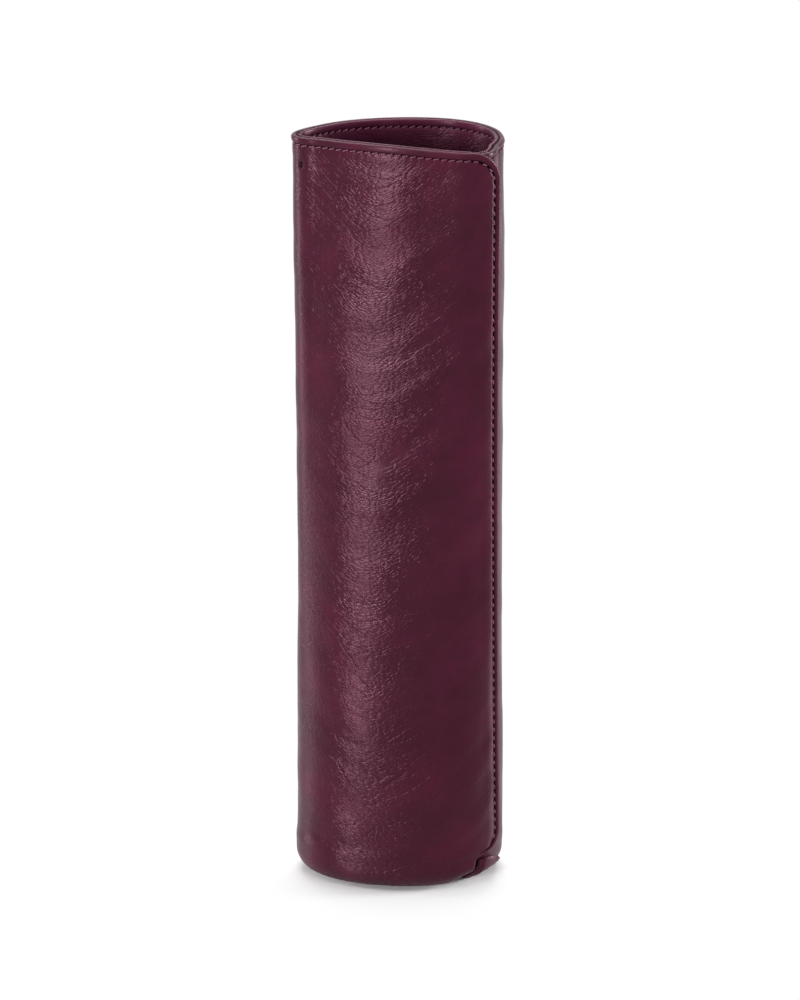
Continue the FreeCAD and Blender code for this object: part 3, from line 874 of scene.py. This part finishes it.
def make_stitch_tree():
    """Geometry nodes that lay one arched stitch on each guide point, along its along and out vectors."""
    tree = bpy.data.node_groups.new("stitches", "GeometryNodeTree")
    sockets = tree.interface
    sockets.new_socket("Geometry", in_out="INPUT", socket_type="NodeSocketGeometry")
    for label in seam_thread:
        sockets.new_socket(label, in_out="INPUT", socket_type="NodeSocketFloat")
    sockets.new_socket("Geometry", in_out="OUTPUT", socket_type="NodeSocketGeometry")
    given = add_node(tree, "NodeGroupInput").outputs
    along = add_node(tree, "GeometryNodeInputNamedAttribute", {"Name": "along"}, data_type="FLOAT_VECTOR")
    out = add_node(tree, "GeometryNodeInputNamedAttribute", {"Name": "out"}, data_type="FLOAT_VECTOR")
    size = add_node(tree, "ShaderNodeVectorMath", {0: along.outputs["Attribute"]}, operation="LENGTH")
    # An arch one unit long, scaled to each stitch's length and to about the given rise
    arch = add_node(tree, "GeometryNodeCurvePrimitiveBezierSegment",
                    {"Resolution": 7, "Start": (-0.5, 0, 0), "Start Handle": (-0.42, 0, 1.0),
                     "End Handle": (0.42, 0, 1.0), "End": (0.5, 0, 0)}, mode="POSITION")
    vary = add_node(tree, "FunctionNodeRandomValue", {2: 0.9, 3: 1.1, "Seed": 5}, data_type="FLOAT")
    rise = add_node(tree, "ShaderNodeMath", {0: given["Rise"], 1: vary.outputs[1]}, operation="MULTIPLY")
    scale = add_node(tree, "ShaderNodeCombineXYZ",
                     {"X": size.outputs["Value"], "Y": size.outputs["Value"], "Z": rise.outputs[0]})
    turn = add_node(tree, "FunctionNodeAxesToRotation",
                    {0: along.outputs["Attribute"], 1: out.outputs["Attribute"]},
                    primary_axis="X", secondary_axis="Z")
    laid = add_node(tree, "GeometryNodeInstanceOnPoints",
                    {"Points": given["Geometry"], "Instance": arch.outputs[0],
                     "Rotation": turn.outputs[0], "Scale": scale.outputs[0]})
    lines = add_node(tree, "GeometryNodeRealizeInstances", {"Geometry": laid.outputs[0]})
    spot = add_node(tree, "GeometryNodeSplineParameter")
    named = add_node(tree, "GeometryNodeStoreNamedAttribute",
                     {"Geometry": lines.outputs[0], "Name": "twist", "Value": spot.outputs["Factor"]},
                     data_type="FLOAT", domain="POINT")
    radius = add_node(tree, "ShaderNodeMath", {0: given["Thread thickness"], 1: 0.5}, operation="MULTIPLY")
    ring = add_node(tree, "GeometryNodeCurvePrimitiveCircle", {"Resolution": 6, "Radius": radius.outputs[0]})
    tube = add_node(tree, "GeometryNodeCurveToMesh",
                    {"Curve": named.outputs[0], "Profile Curve": ring.outputs[0], "Fill Caps": True})
    smooth = add_node(tree, "GeometryNodeSetShadeSmooth", {"Geometry": tube.outputs[0]})
    real = add_node(tree, "GeometryNodeRealizeInstances", {"Geometry": smooth.outputs[0]})
    dressed = add_node(tree, "GeometryNodeSetMaterial",
                       {"Geometry": real.outputs[0], "Material": polyester_thread})
    add_node(tree, "NodeGroupOutput", {"Geometry": dressed.outputs[0]})
    return tree


def make_stitches(name, starts, ends, out, sizes=seam_thread):
    """Stitches from starts to ends, arched off their face along the out vectors."""
    guide = bpy.data.meshes.new(name)
    guide.from_pydata((((starts + ends) / 2 - footprint_middle) * mm).tolist(), [], [])
    for label, vectors in (("along", (ends - starts) * mm), ("out", out)):
        layer = guide.attributes.new(label, "FLOAT_VECTOR", "POINT")
        layer.data.foreach_set("vector", np.asarray(vectors, np.float32).ravel())
    piece = bpy.data.objects.new(name, guide)
    bpy.context.scene.collection.objects.link(piece)
    sewing = piece.modifiers.new("sewing", "NODES")
    sewing.node_group = stitch_tree
    for socket in stitch_tree.interface.items_tree:
        if socket.name in sizes:
            sewing[socket.identifier] = sizes[socket.name]
    dressed = piece.evaluated_get(bpy.context.evaluated_depsgraph_get())
    mesh = bpy.data.meshes.new_from_object(dressed)
    piece.modifiers.remove(sewing)
    piece.data = mesh
    return piece


def seam_stitches(name, first, count, slant, gap):
    """Stitches of the outer seam from a stitch count on, each leaning across the seam by the slant."""
    stitch = np.arange(first, first + count, dtype=float)
    half = gap / 2 / flap_pitch
    starts, out = outer_place(*seam_spot(stitch + half, seam_inset + slant))
    ends, _ = outer_place(*seam_spot(stitch + 1 - half, seam_inset - slant))
    return make_stitches(name, starts, ends, out)


def line_stitches(name, place, starts, ends, sizes=seam_thread):
    """Stitches between pairs of spots on a face."""
    starts, out = place(*(np.array(values, float) for values in starts))
    ends, _ = place(*(np.array(values, float) for values in ends))
    return make_stitches(name, starts, ends, out, sizes)


# Finishes


def add_node(tree, kind, inputs=(), **settings):
    """Adds a node with its settings. Each input is a value, or a node or output to link."""
    node = tree.nodes.new(kind)
    for label, value in settings.items():
        setattr(node, label, value)
    for key, value in dict(inputs).items():
        if isinstance(value, bpy.types.Node):
            value = value.outputs[0]
        if isinstance(value, bpy.types.NodeSocket):
            tree.links.new(value, node.inputs[key])
        else:
            node.inputs[key].default_value = value
    return node


def shade(text):
    """Linear RGBA of an sRGB hex colour."""
    parts = [int(text[index:index + 2], 16) / 255 for index in (1, 3, 5)]
    return [part / 12.92 if part <= 0.04045 else ((part + 0.055) / 1.055) ** 2.4 for part in parts] + [1.0]


def new_finish(name, **settings):
    """A material with a principled shader. Gives the material, its tree and the shader."""
    finish = bpy.data.materials.new(name)
    finish.use_nodes = True
    tree = finish.node_tree
    shader = tree.nodes["Principled BSDF"]
    for label, value in settings.items():
        shader.inputs[label.replace("_", " ")].default_value = value
    return finish, tree, shader


# Sockets of a Mix node for colours: its two colours, and its output
first_colour, second_colour, mixed_colour = 6, 7, 2

# Kinds of wrinkle: how long and how far apart they lie, how much of that is groove, how deep
# they are beside the others, how large their patches are and how much stays bare. All in mm.
wrinkle_kinds = (
    (2.2, 0.85, 0.4, 0.85, 22.0, 0.34),
    (5.5, 1.5, 0.2, 0.7, 26.0, 0.44),
    (26.0, 5.0, 0.05, 1.5, 45.0, 0.47),
)
patch_fade = 0.07

# The leather is bent most in the V's middle, less beyond it, and least along the seam
bent_reach, bent_least = 42.0, 0.25
bent_seam_end, bent_seam_least = 7.0, 0.1

# Other patterns of the calf, in counts per mm along the face and up: the warp, by which the
# wrinkles waver in mm, the drape, as deep as a share of the wrinkles, the pores, the clouds of
# dye, and the patches of shine, by which the roughness changes
warp_count, warp_way = 0.28, 1.4
drape_counts, drape_share = (0.12, 0.32, 1), 0.8
pore_count = 1.9
cloud_count = 0.045
shine_counts, shine_change = (0.022, 0.055, 1), 0.05

# Painted shade in the wrinkles: a wrinkle this deep takes this share of the deep dye
deep_wrinkle, wrinkle_shade_share = -1.2, 0.8

# Seam in the calf: painted shade darkens its groove, which lies outside the stitches by its inset,
# and fades between two ways from its middle, in mm. Each pricked hole is painted dark as the shade
# in it, and fades between two radii, in flap pitches. Ways along the seam count by a share, so holes
# are long on the flap and small on the rim. The share turns over within about one stitch, where the
# flap's corner starts.
groove_inset, groove_inner, groove_outer, groove_shade_share = 0.35, 0.1, 0.6, 0.35
hole_inner, hole_outer = 0.1, 0.18
flap_hole_share, rim_hole_share = 0.42, 1.3
hole_turn = 0.6
# Colour of the painted shade in the seam's groove and holes
seam_shade_colour = "#16070c"
calf_gloss, hole_gloss = 0.28, 0.02


def leather_places(tree, lowest):
    """Places on the unrolled leather in mm: flat, along the sagging V, and wavering along it.
    Also how much the leather is bent. lowest is the length where the V hangs lowest."""
    flat = add_node(tree, "ShaderNodeUVMap", uv_map="unrolled")
    flat = add_node(tree, "ShaderNodeVectorMath", {0: flat, "Scale": 1 / mm}, operation="SCALE")
    parts = add_node(tree, "ShaderNodeSeparateXYZ", {0: flat}).outputs
    away = add_node(tree, "ShaderNodeMath", {0: parts["X"], 1: lowest}, operation="SUBTRACT")
    away = add_node(tree, "ShaderNodeMath", {0: away, 1: away, 2: sag_round**2}, operation="MULTIPLY_ADD")
    away = add_node(tree, "ShaderNodeMath", {0: away}, operation="SQRT")
    level = add_node(tree, "ShaderNodeMath", {0: away, 1: -sag_slope, 2: parts["Y"]},
                     operation="MULTIPLY_ADD")
    sagged = add_node(tree, "ShaderNodeCombineXYZ", {0: parts["X"], 1: level})
    warp = add_node(tree, "ShaderNodeTexNoise", {"Vector": flat, "Scale": warp_count, "Detail": 2.0},
                    noise_dimensions="2D").outputs["Color"]
    wavy = add_node(tree, "ShaderNodeVectorMath", {0: warp, 1: (warp_way, warp_way, 0), 2: sagged},
                    operation="MULTIPLY_ADD")
    bent = add_node(tree, "ShaderNodeMapRange",
                    {0: away, 1: sag_round, 2: bent_reach, 3: 1.0, 4: bent_least})
    return flat, sagged, wavy, bent


def wrinkle_relief(tree, sagged, wavy, bent):
    """Grooves of all kinds of wrinkle: 0 on the plain face, and below it in a groove."""
    relief = 0.0
    for length, pitch, groove, depth, patch, bare in wrinkle_kinds:
        lines = add_node(tree, "ShaderNodeMapping", {0: wavy, "Scale": (1 / length, 1 / pitch, 1)})
        lines = add_node(tree, "ShaderNodeTexVoronoi", {"Vector": lines, "Scale": 1.0},
                         voronoi_dimensions="2D", feature="DISTANCE_TO_EDGE")
        lines = add_node(tree, "ShaderNodeMapRange", {0: lines, 1: 0.0, 2: groove, 3: -1.0, 4: 0.0},
                         interpolation_type="SMOOTHSTEP")
        zone = add_node(tree, "ShaderNodeTexNoise", {"Vector": sagged, "Scale": 1 / patch, "Detail": 3.0},
                        noise_dimensions="2D")
        zone = add_node(tree, "ShaderNodeMapRange", {0: zone, 1: bare - patch_fade, 2: bare + patch_fade},
                        interpolation_type="SMOOTHSTEP")
        zone = add_node(tree, "ShaderNodeMath", {0: zone, 1: bent}, operation="MULTIPLY")
        lines = add_node(tree, "ShaderNodeMath", {0: lines, 1: zone}, operation="MULTIPLY")
        relief = add_node(tree, "ShaderNodeMath", {0: lines, 1: depth, 2: relief}, operation="MULTIPLY_ADD")
    return relief


def seam_marks(tree, seam):
    """How much painted shade of the stitching's groove, and of its pricked holes, lies at a place."""
    groove = add_node(tree, "ShaderNodeMath", {0: seam["Y"], 1: seam_inset - groove_inset},
                      operation="SUBTRACT")
    groove = add_node(tree, "ShaderNodeMath", {0: groove}, operation="ABSOLUTE")
    groove = add_node(tree, "ShaderNodeMapRange",
                      {0: groove, 1: groove_inner, 2: groove_outer, 3: groove_shade_share, 4: 0.0},
                      interpolation_type="SMOOTHSTEP")
    beside = add_node(tree, "ShaderNodeMath", {0: seam["X"], 1: 0.5}, operation="PINGPONG")
    share = add_node(tree, "ShaderNodeMapRange",
                     {0: seam["X"], 1: -hole_turn, 2: hole_turn, 3: rim_hole_share, 4: flap_hole_share})
    beside = add_node(tree, "ShaderNodeMath", {0: beside, 1: share}, operation="MULTIPLY")
    across = add_node(tree, "ShaderNodeMapRange", {0: seam["Y"], 1: seam_inset, 2: seam_inset + flap_pitch},
                      clamp=False)
    around = add_node(tree, "ShaderNodeCombineXYZ", {0: beside, 1: across})
    around = add_node(tree, "ShaderNodeVectorMath", {0: around}, operation="LENGTH").outputs["Value"]
    hole = add_node(tree, "ShaderNodeMapRange", {0: around, 1: hole_inner, 2: hole_outer, 3: 1.0, 4: 0.0},
                    interpolation_type="SMOOTHSTEP")
    return groove, hole


def stretched_noise(tree, places, counts):
    """Smooth patches stretched over the leather, in counts per mm along it and up."""
    scaled = add_node(tree, "ShaderNodeMapping", {0: places, "Scale": counts})
    return add_node(tree, "ShaderNodeTexNoise", {"Vector": scaled, "Scale": 1.0, "Detail": 3.0},
                    noise_dimensions="2D")


def leather_finish(name, dyes, roughness, wrinkle, pore, lowest):
    """Aniline-dyed calf: the dye lies in clouds, and painted shade darkens the wrinkles and the
    seam's groove and holes. The bent grain breaks into fine wrinkles that run round the sleeve, so a
    light's reflection is drawn out up and down.
    dyes are its deep, plain and bright colour; wrinkle and pore are depths in mm; lowest is the
    length where the wrinkles hang lowest."""
    finish, tree, shader = new_finish(name, Anisotropic=0.84, Anisotropic_Rotation=0.25)
    shader.inputs["Specular Tint"].default_value = shade("#ffc0d4")
    along = add_node(tree, "ShaderNodeTangent", direction_type="UV_MAP", uv_map="unrolled")
    tree.links.new(along.outputs[0], shader.inputs["Tangent"])
    flat, sagged, wavy, bent = leather_places(tree, lowest)
    seam = add_node(tree, "ShaderNodeUVMap", uv_map="seam")
    seam = add_node(tree, "ShaderNodeSeparateXYZ", {0: seam}).outputs
    past_seam = add_node(tree, "ShaderNodeMapRange",
                         {0: seam["Y"], 1: seam_inset, 2: bent_seam_end, 3: bent_seam_least, 4: 1.0})
    bent = add_node(tree, "ShaderNodeMath", {0: bent, 1: past_seam}, operation="MULTIPLY")
    relief = wrinkle_relief(tree, sagged, wavy, bent)
    drape = stretched_noise(tree, wavy, drape_counts)
    pores = add_node(tree, "ShaderNodeTexVoronoi", {"Vector": flat, "Scale": pore_count},
                     voronoi_dimensions="2D", feature="SMOOTH_F1")
    surface = add_node(tree, "ShaderNodeMath", {0: drape, 1: drape_share, 2: relief},
                       operation="MULTIPLY_ADD")
    surface = add_node(tree, "ShaderNodeMath", {0: surface, 1: wrinkle}, operation="MULTIPLY")
    surface = add_node(tree, "ShaderNodeMath", {0: pores, 1: -pore, 2: surface}, operation="MULTIPLY_ADD")
    bump = add_node(tree, "ShaderNodeBump", {"Height": surface, "Distance": mm})
    tree.links.new(bump.outputs[0], shader.inputs["Normal"])
    clouds = add_node(tree, "ShaderNodeTexNoise", {"Vector": flat, "Scale": cloud_count, "Detail": 5.0,
                                                   "Roughness": 0.6}, noise_dimensions="2D")
    dye = add_node(tree, "ShaderNodeValToRGB", {0: clouds})
    ramp = dye.color_ramp.elements
    ramp[0].position, ramp[0].color = 0.36, shade(dyes[0])
    ramp[1].position, ramp[1].color = 0.66, shade(dyes[2])
    ramp.new(0.5).color = shade(dyes[1])
    colour = dye.outputs[0]
    # Painted shade: the deep dye darkens the wrinkles by their depth
    wrinkle_shade = add_node(tree, "ShaderNodeMapRange", {0: relief, 1: 0.0, 2: deep_wrinkle, 3: 0.0, 4: wrinkle_shade_share})
    # Painted shade in the seam's groove and in its pricked holes
    groove, hole = seam_marks(tree, seam)
    for share, tint in ((wrinkle_shade, dyes[0]), (groove, seam_shade_colour), (hole, seam_shade_colour)):
        colour = add_node(tree, "ShaderNodeMix",
                          {0: share, first_colour: colour, second_colour: shade(tint)},
                          data_type="RGBA").outputs[mixed_colour]
    tree.links.new(colour, shader.inputs["Base Color"])
    sunk = add_node(tree, "ShaderNodeMath", {0: groove, 1: 2.0, 2: hole}, operation="MULTIPLY_ADD")
    gloss = add_node(tree, "ShaderNodeMapRange", {0: sunk, 1: 0.0, 2: 1.0, 3: calf_gloss, 4: hole_gloss})
    tree.links.new(gloss.outputs[0], shader.inputs["Specular IOR Level"])
    shine = add_node(tree, "ShaderNodeMapRange",
                     {0: stretched_noise(tree, wavy, shine_counts), 1: 0.32, 2: 0.68,
                      3: roughness + shine_change, 4: roughness - shine_change})
    tree.links.new(shine.outputs[0], shader.inputs["Roughness"])
    return finish


def fibre_finish(name, colours, roughness, across, along, depth):
    """Matted or woven fibres: short strokes of two shades, across and along in strokes per mm.
    depth is in mm."""
    finish, tree, shader = new_finish(name, Roughness=roughness, Specular_IOR_Level=0.2)
    place = add_node(tree, "ShaderNodeTexCoord").outputs["Object"]
    scaled = add_node(tree, "ShaderNodeMapping",
                      {"Vector": place, "Scale": (across / mm, across / mm, along / mm)})
    fibres = add_node(tree, "ShaderNodeTexNoise", {"Vector": scaled, "Scale": 1.0, "Detail": 4.0,
                                                   "Roughness": 0.7}).outputs[0]
    tint = add_node(tree, "ShaderNodeValToRGB", {0: fibres})
    ramp = tint.color_ramp.elements
    ramp[0].position, ramp[0].color = 0.38, shade(colours[0])
    ramp[1].position, ramp[1].color = 0.62, shade(colours[1])
    tree.links.new(tint.outputs[0], shader.inputs["Base Color"])
    bump = add_node(tree, "ShaderNodeBump", {"Height": fibres, "Distance": depth * mm})
    tree.links.new(bump.outputs[0], shader.inputs["Normal"])
    return finish


# Turns of the strands that show along one stitch
strand_turns = 3


def thread_finish():
    """Polyester sewing thread, two strands twisted and waxed: a soft glint on slanting strands,
    painted into its colour as lighter and darker bands along the twist, over a bump of the same twist.
    """
    finish, tree, shader = new_finish("polyester_thread", Roughness=0.5, Specular_IOR_Level=0.15)
    twist = add_node(tree, "ShaderNodeAttribute", attribute_name="twist").outputs["Fac"]
    turns = add_node(tree, "ShaderNodeMath", {0: twist, 1: strand_turns * 2 * math.pi}, operation="MULTIPLY")
    strands = add_node(tree, "ShaderNodeMath", {0: turns}, operation="SINE")
    share = add_node(tree, "ShaderNodeMath", {0: strands, 1: 0.5, 2: 0.5}, operation="MULTIPLY_ADD")
    # Painted glint and shade: the colour runs between two shades along the twist
    tint = add_node(tree, "ShaderNodeValToRGB", {0: share})
    ramp = tint.color_ramp.elements
    ramp[0].color, ramp[1].color = shade("#5f2f41"), shade("#8f5c6f")
    tree.links.new(tint.outputs[0], shader.inputs["Base Color"])
    bump = add_node(tree, "ShaderNodeBump", {"Height": strands, "Distance": 0.05 * mm})
    tree.links.new(bump.outputs[0], shader.inputs["Normal"])
    return finish


calf = leather_finish("aniline_calf_leather", ("#330a1a", "#3b0e21", "#451126"),
                      roughness=0.36, wrinkle=0.057, pore=0.016, lowest=highlight_length)
# The lining is a paler calf, and its wrinkles hang lowest in the middle of the back panel
lining_calf = leather_finish("lining_calf_leather", ("#41152a", "#4b1b31", "#57243b"),
                             roughness=0.36, wrinkle=0.09, pore=0.02, lowest=119.0)
# Felt is matt with short fibres, tape has fine threads, and board has coarse strokes
felt = fibre_finish("pressed_wool_felt", ("#857b70", "#a59a8c"),
                    roughness=0.95, across=2.2, along=1.4, depth=0.2)
cotton_tape = fibre_finish("woven_cotton_tape", ("#3d1c27", "#52303a"),
                           roughness=0.85, across=3.0, along=1.0, depth=0.1)
fibre_board = fibre_finish("pressed_fibre_board", ("#54422f", "#7b654c"),
                           roughness=0.85, across=0.9, along=2.5, depth=0.08)
polyester_thread = thread_finish()
stitch_tree = make_stitch_tree()

# Pieces

outer_leather = make_outer_leather()
corner_fold = make_corner_fold()
lining = make_lining()
felt_ply = make_ply("felt_ply", felt_inset, outer_nominal - felt_inset, felt_inset, height - boxing_height)
edge_tape = make_ply("edge_tape", tape_start, outer_nominal - tape_end_inset, tape_top, tape_bottom)

rim_count = int((outer_nominal - flap_corner - seam_inset) / rim_pitch)
flap_seam = height - foot_corner_z - flap_corner + (flap_corner - seam_inset) * math.pi / 2
rim_stitches = seam_stitches("rim_stitches", -rim_count, rim_count, rim_slant, rim_gap)
flap_stitches = seam_stitches("flap_stitches", 0, int(flap_seam / flap_pitch), flap_slant, flap_gap)

lining_count = int((lining_nominal - flap_corner - seam_inset) / rim_pitch)
spots = flap_corner + np.arange(lining_count) * rim_pitch
line = np.full_like(spots, seam_inset)
lining_rim_stitches = line_stitches(
    "lining_rim_stitches", inner_place, (spots + rim_gap / 2, line + lining_slant),
    (spots + rim_pitch - rim_gap / 2, line - lining_slant))

spots = slit_length + np.arange(lap_count) * flap_pitch
line = np.full_like(spots, lining_nominal - seam_inset)
lap_stitches = line_stitches(
    "lap_stitches", inner_place, (line, spots + stitch_gap / 2),
    (line, spots + flap_pitch - stitch_gap / 2))

spots = slit_length + np.arange(bar_count) * bar_pitch
line = np.ones_like(spots)
slit_tack = line_stitches(
    "slit_tack", outer_place, (line * bar_start, spots), (line * bar_end, spots), sunk_thread)

spots = tack_spot[0] + np.array((-tack_half, tack_half))
line = np.full_like(spots, tack_spot[1])
fold_tack = line_stitches(
    "fold_tack", outer_place, (spots, line - tack_half), (spots, line + tack_half), sunk_thread)

spots = base_start + np.arange(base_count) * base_pitch
line = np.zeros_like(spots)
base_stitches = line_stitches(
    "base_stitches", floor_place, (spots, line, leather), (spots + base_stitch, line, leather))
lining_base_stitches = line_stitches(
    "lining_base_stitches", floor_place, (spots, line, lining_floor),
    (spots + base_stitch, line, lining_floor))

spots = np.tile(corner_start + np.arange(corner_count) * base_pitch, 2)
line = np.repeat((-base_seam_half, base_seam_half), corner_count)
corner_tack = line_stitches(
    "corner_tack", floor_place, (line, spots, leather), (line, spots + base_stitch, leather))

for piece, finish, slot, nodes in (
        (outer_leather, calf, "outer_leather", ("outer_wrap",)),
        (corner_fold, calf, "outer_leather", ("outer_wrap",)),
        (lining, lining_calf, "lining_leather", ("lining_wrap", "flap_facing")),
        (felt_ply, felt, "interlining_felt", ("interlining",)),
        (edge_tape, cotton_tape, "edge_tape", ("rim_tape",)),
        (rim_stitches, None, "thread", ("rim_needle_thread",)),
        (flap_stitches, None, "thread", ("flap_needle_thread",)),
        (lining_rim_stitches, None, "thread", ("rim_bobbin_thread",)),
        (lap_stitches, None, "thread", ("lap_bobbin_thread",)),
        (slit_tack, None, "thread", ("slit_tack_thread",)),
        (fold_tack, None, "thread", ("fold_tack_thread",)),
        (base_stitches, None, "thread", ("base_seam_thread",)),
        (lining_base_stitches, None, "thread", ("lining_seam_thread",)),
        (corner_tack, None, "thread", ("corner_tack_thread",))):
    # Stitches got their thread's finish from the stitch tree
    if finish:
        piece.data.materials.append(finish)
    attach(piece, "root")
    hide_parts(*nodes)

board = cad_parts["base_board"]
for place in board.material_slots:
    place.material = fibre_board

# Camera, floor and light. Places are in metres, angles in degrees and lamps in watts.

camera_lens, camera_sensor = 157.0, 36.0
camera_place = (-0.000017, -1.411, 0.6504)
camera_tilt = 70.0
camera_reach = 20.0

camera = bpy.data.objects.new("camera", bpy.data.cameras.new("camera"))
bpy.context.scene.collection.objects.link(camera)
bpy.context.scene.camera = camera
camera.data.lens = camera_lens
camera.data.sensor_width = camera_sensor
camera.data.clip_end = camera_reach
camera.location = camera_place
camera.rotation_euler = (math.radians(camera_tilt), 0, 0)

# Paper sweep just under the sleeve: seen white, with the sleeve's own shadow close round its
# foot. The shadow shows in full near the middle, and its oval fades out by its reach.
floor_half = 4.0
floor_drop = 0.0002
near_white = 1.03
paper_grey = "#7c7c7c"
shadow_start, shadow_reach = 0.03, 0.085
shadow_oval = (0.95, 1.35, 0.0)
shadow_falloff = 3.3

floor_mesh = bpy.data.meshes.new("floor")
floor_corners = [(x * floor_half, y * floor_half, 0) for x, y in ((-1, -1), (1, -1), (1, 1), (-1, 1))]
floor_mesh.from_pydata(floor_corners, [], [(0, 1, 2, 3)])
floor = bpy.data.objects.new("floor", floor_mesh)
floor.location = (0, 0, -floor_drop)
bpy.context.scene.collection.objects.link(floor)


def seen_rays(tree):
    """1 for the rays that show the background: the camera's, and those off gloss and through glass."""
    rays = add_node(tree, "ShaderNodeLightPath").outputs
    seen = rays["Is Camera Ray"]
    for kind in ("Is Glossy Ray", "Is Transmission Ray"):
        seen = add_node(tree, "ShaderNodeMath", {0: seen, 1: rays[kind]}, operation="MAXIMUM")
    return seen


def paper_finish():
    """White paper: matt where it takes the sleeve's shadow, and plain white where it is background."""
    finish, tree, _ = new_finish("white_floor")
    seen = seen_rays(tree)
    spot = add_node(tree, "ShaderNodeTexCoord").outputs["Object"]
    spot = add_node(tree, "ShaderNodeVectorMath", {0: spot, 1: shadow_oval}, operation="MULTIPLY")
    spot = add_node(tree, "ShaderNodeVectorMath", {0: spot}, operation="LENGTH").outputs["Value"]
    dark = add_node(tree, "ShaderNodeMapRange", {0: spot, 1: shadow_start, 2: shadow_reach, 3: 1.0, 4: 0.0})
    dark = add_node(tree, "ShaderNodeMath", {0: dark, 1: shadow_falloff}, operation="POWER")
    white = add_node(tree, "ShaderNodeMath", {0: 1.0, 1: dark}, operation="SUBTRACT")
    white = add_node(tree, "ShaderNodeMath", {0: white, 1: seen}, operation="MULTIPLY")
    paper = add_node(tree, "ShaderNodeMix", {0: seen, first_colour: shade(paper_grey),
                                             second_colour: (near_white,) * 3 + (1.0,)},
                     data_type="RGBA").outputs[mixed_colour]
    matt = add_node(tree, "ShaderNodeBsdfDiffuse", {"Color": paper})
    plain = add_node(tree, "ShaderNodeEmission", {"Strength": 1.0})
    both = add_node(tree, "ShaderNodeMixShader", {0: white, 1: matt, 2: plain})
    tree.links.new(both.outputs[0], tree.nodes["Material Output"].inputs["Surface"])
    return finish


floor_mesh.materials.append(paper_finish())

world = bpy.data.worlds.new("studio")
bpy.context.scene.world = world
world.use_nodes = True
background = world.node_tree.nodes["Background"].inputs
background["Color"].default_value = (1, 1, 1, 1)
world.node_tree.links.new(seen_rays(world.node_tree).outputs[0], background["Strength"])

# Softboxes: azimuth from the camera's side, elevation, distance, width, height and power
softboxes = {
    "softbox_front": (-35.0, 8.0, 2.5, 0.5, 1.0, 61.0),
    "softbox_left": (-97.0, 8.0, 2.5, 0.6, 1.2, 40.0),
    "softbox_right": (94.0, 8.0, 2.5, 0.6, 1.2, 90.0),
    "softbox_back": (180.0, 60.0, 1.8, 1.4, 1.4, 32.0),
    "softbox_top": (-10.0, 62.0, 2.0, 1.0, 1.0, 8.0),
}
lamp_aim = 0.13


def add_softbox(name, azimuth, elevation, distance, width, tall, power):
    """Soft rectangular lamp aimed at the sleeve's middle."""
    lamp = bpy.data.lights.new(name, "AREA")
    lamp.shape = "RECTANGLE"
    lamp.size, lamp.size_y = width, tall
    lamp.energy = power
    holder = bpy.data.objects.new(name, lamp)
    bpy.context.scene.collection.objects.link(holder)
    turn, rise = math.radians(azimuth), math.radians(elevation)
    holder.location = (distance * math.cos(rise) * math.sin(turn),
                       -distance * math.cos(rise) * math.cos(turn), lamp_aim + distance * math.sin(rise))
    holder.rotation_euler = (math.pi / 2 - rise, 0, turn)


for name, setting in softboxes.items():
    add_softbox(name, *setting)

bpy.context.scene.view_settings.view_transform = "Standard"
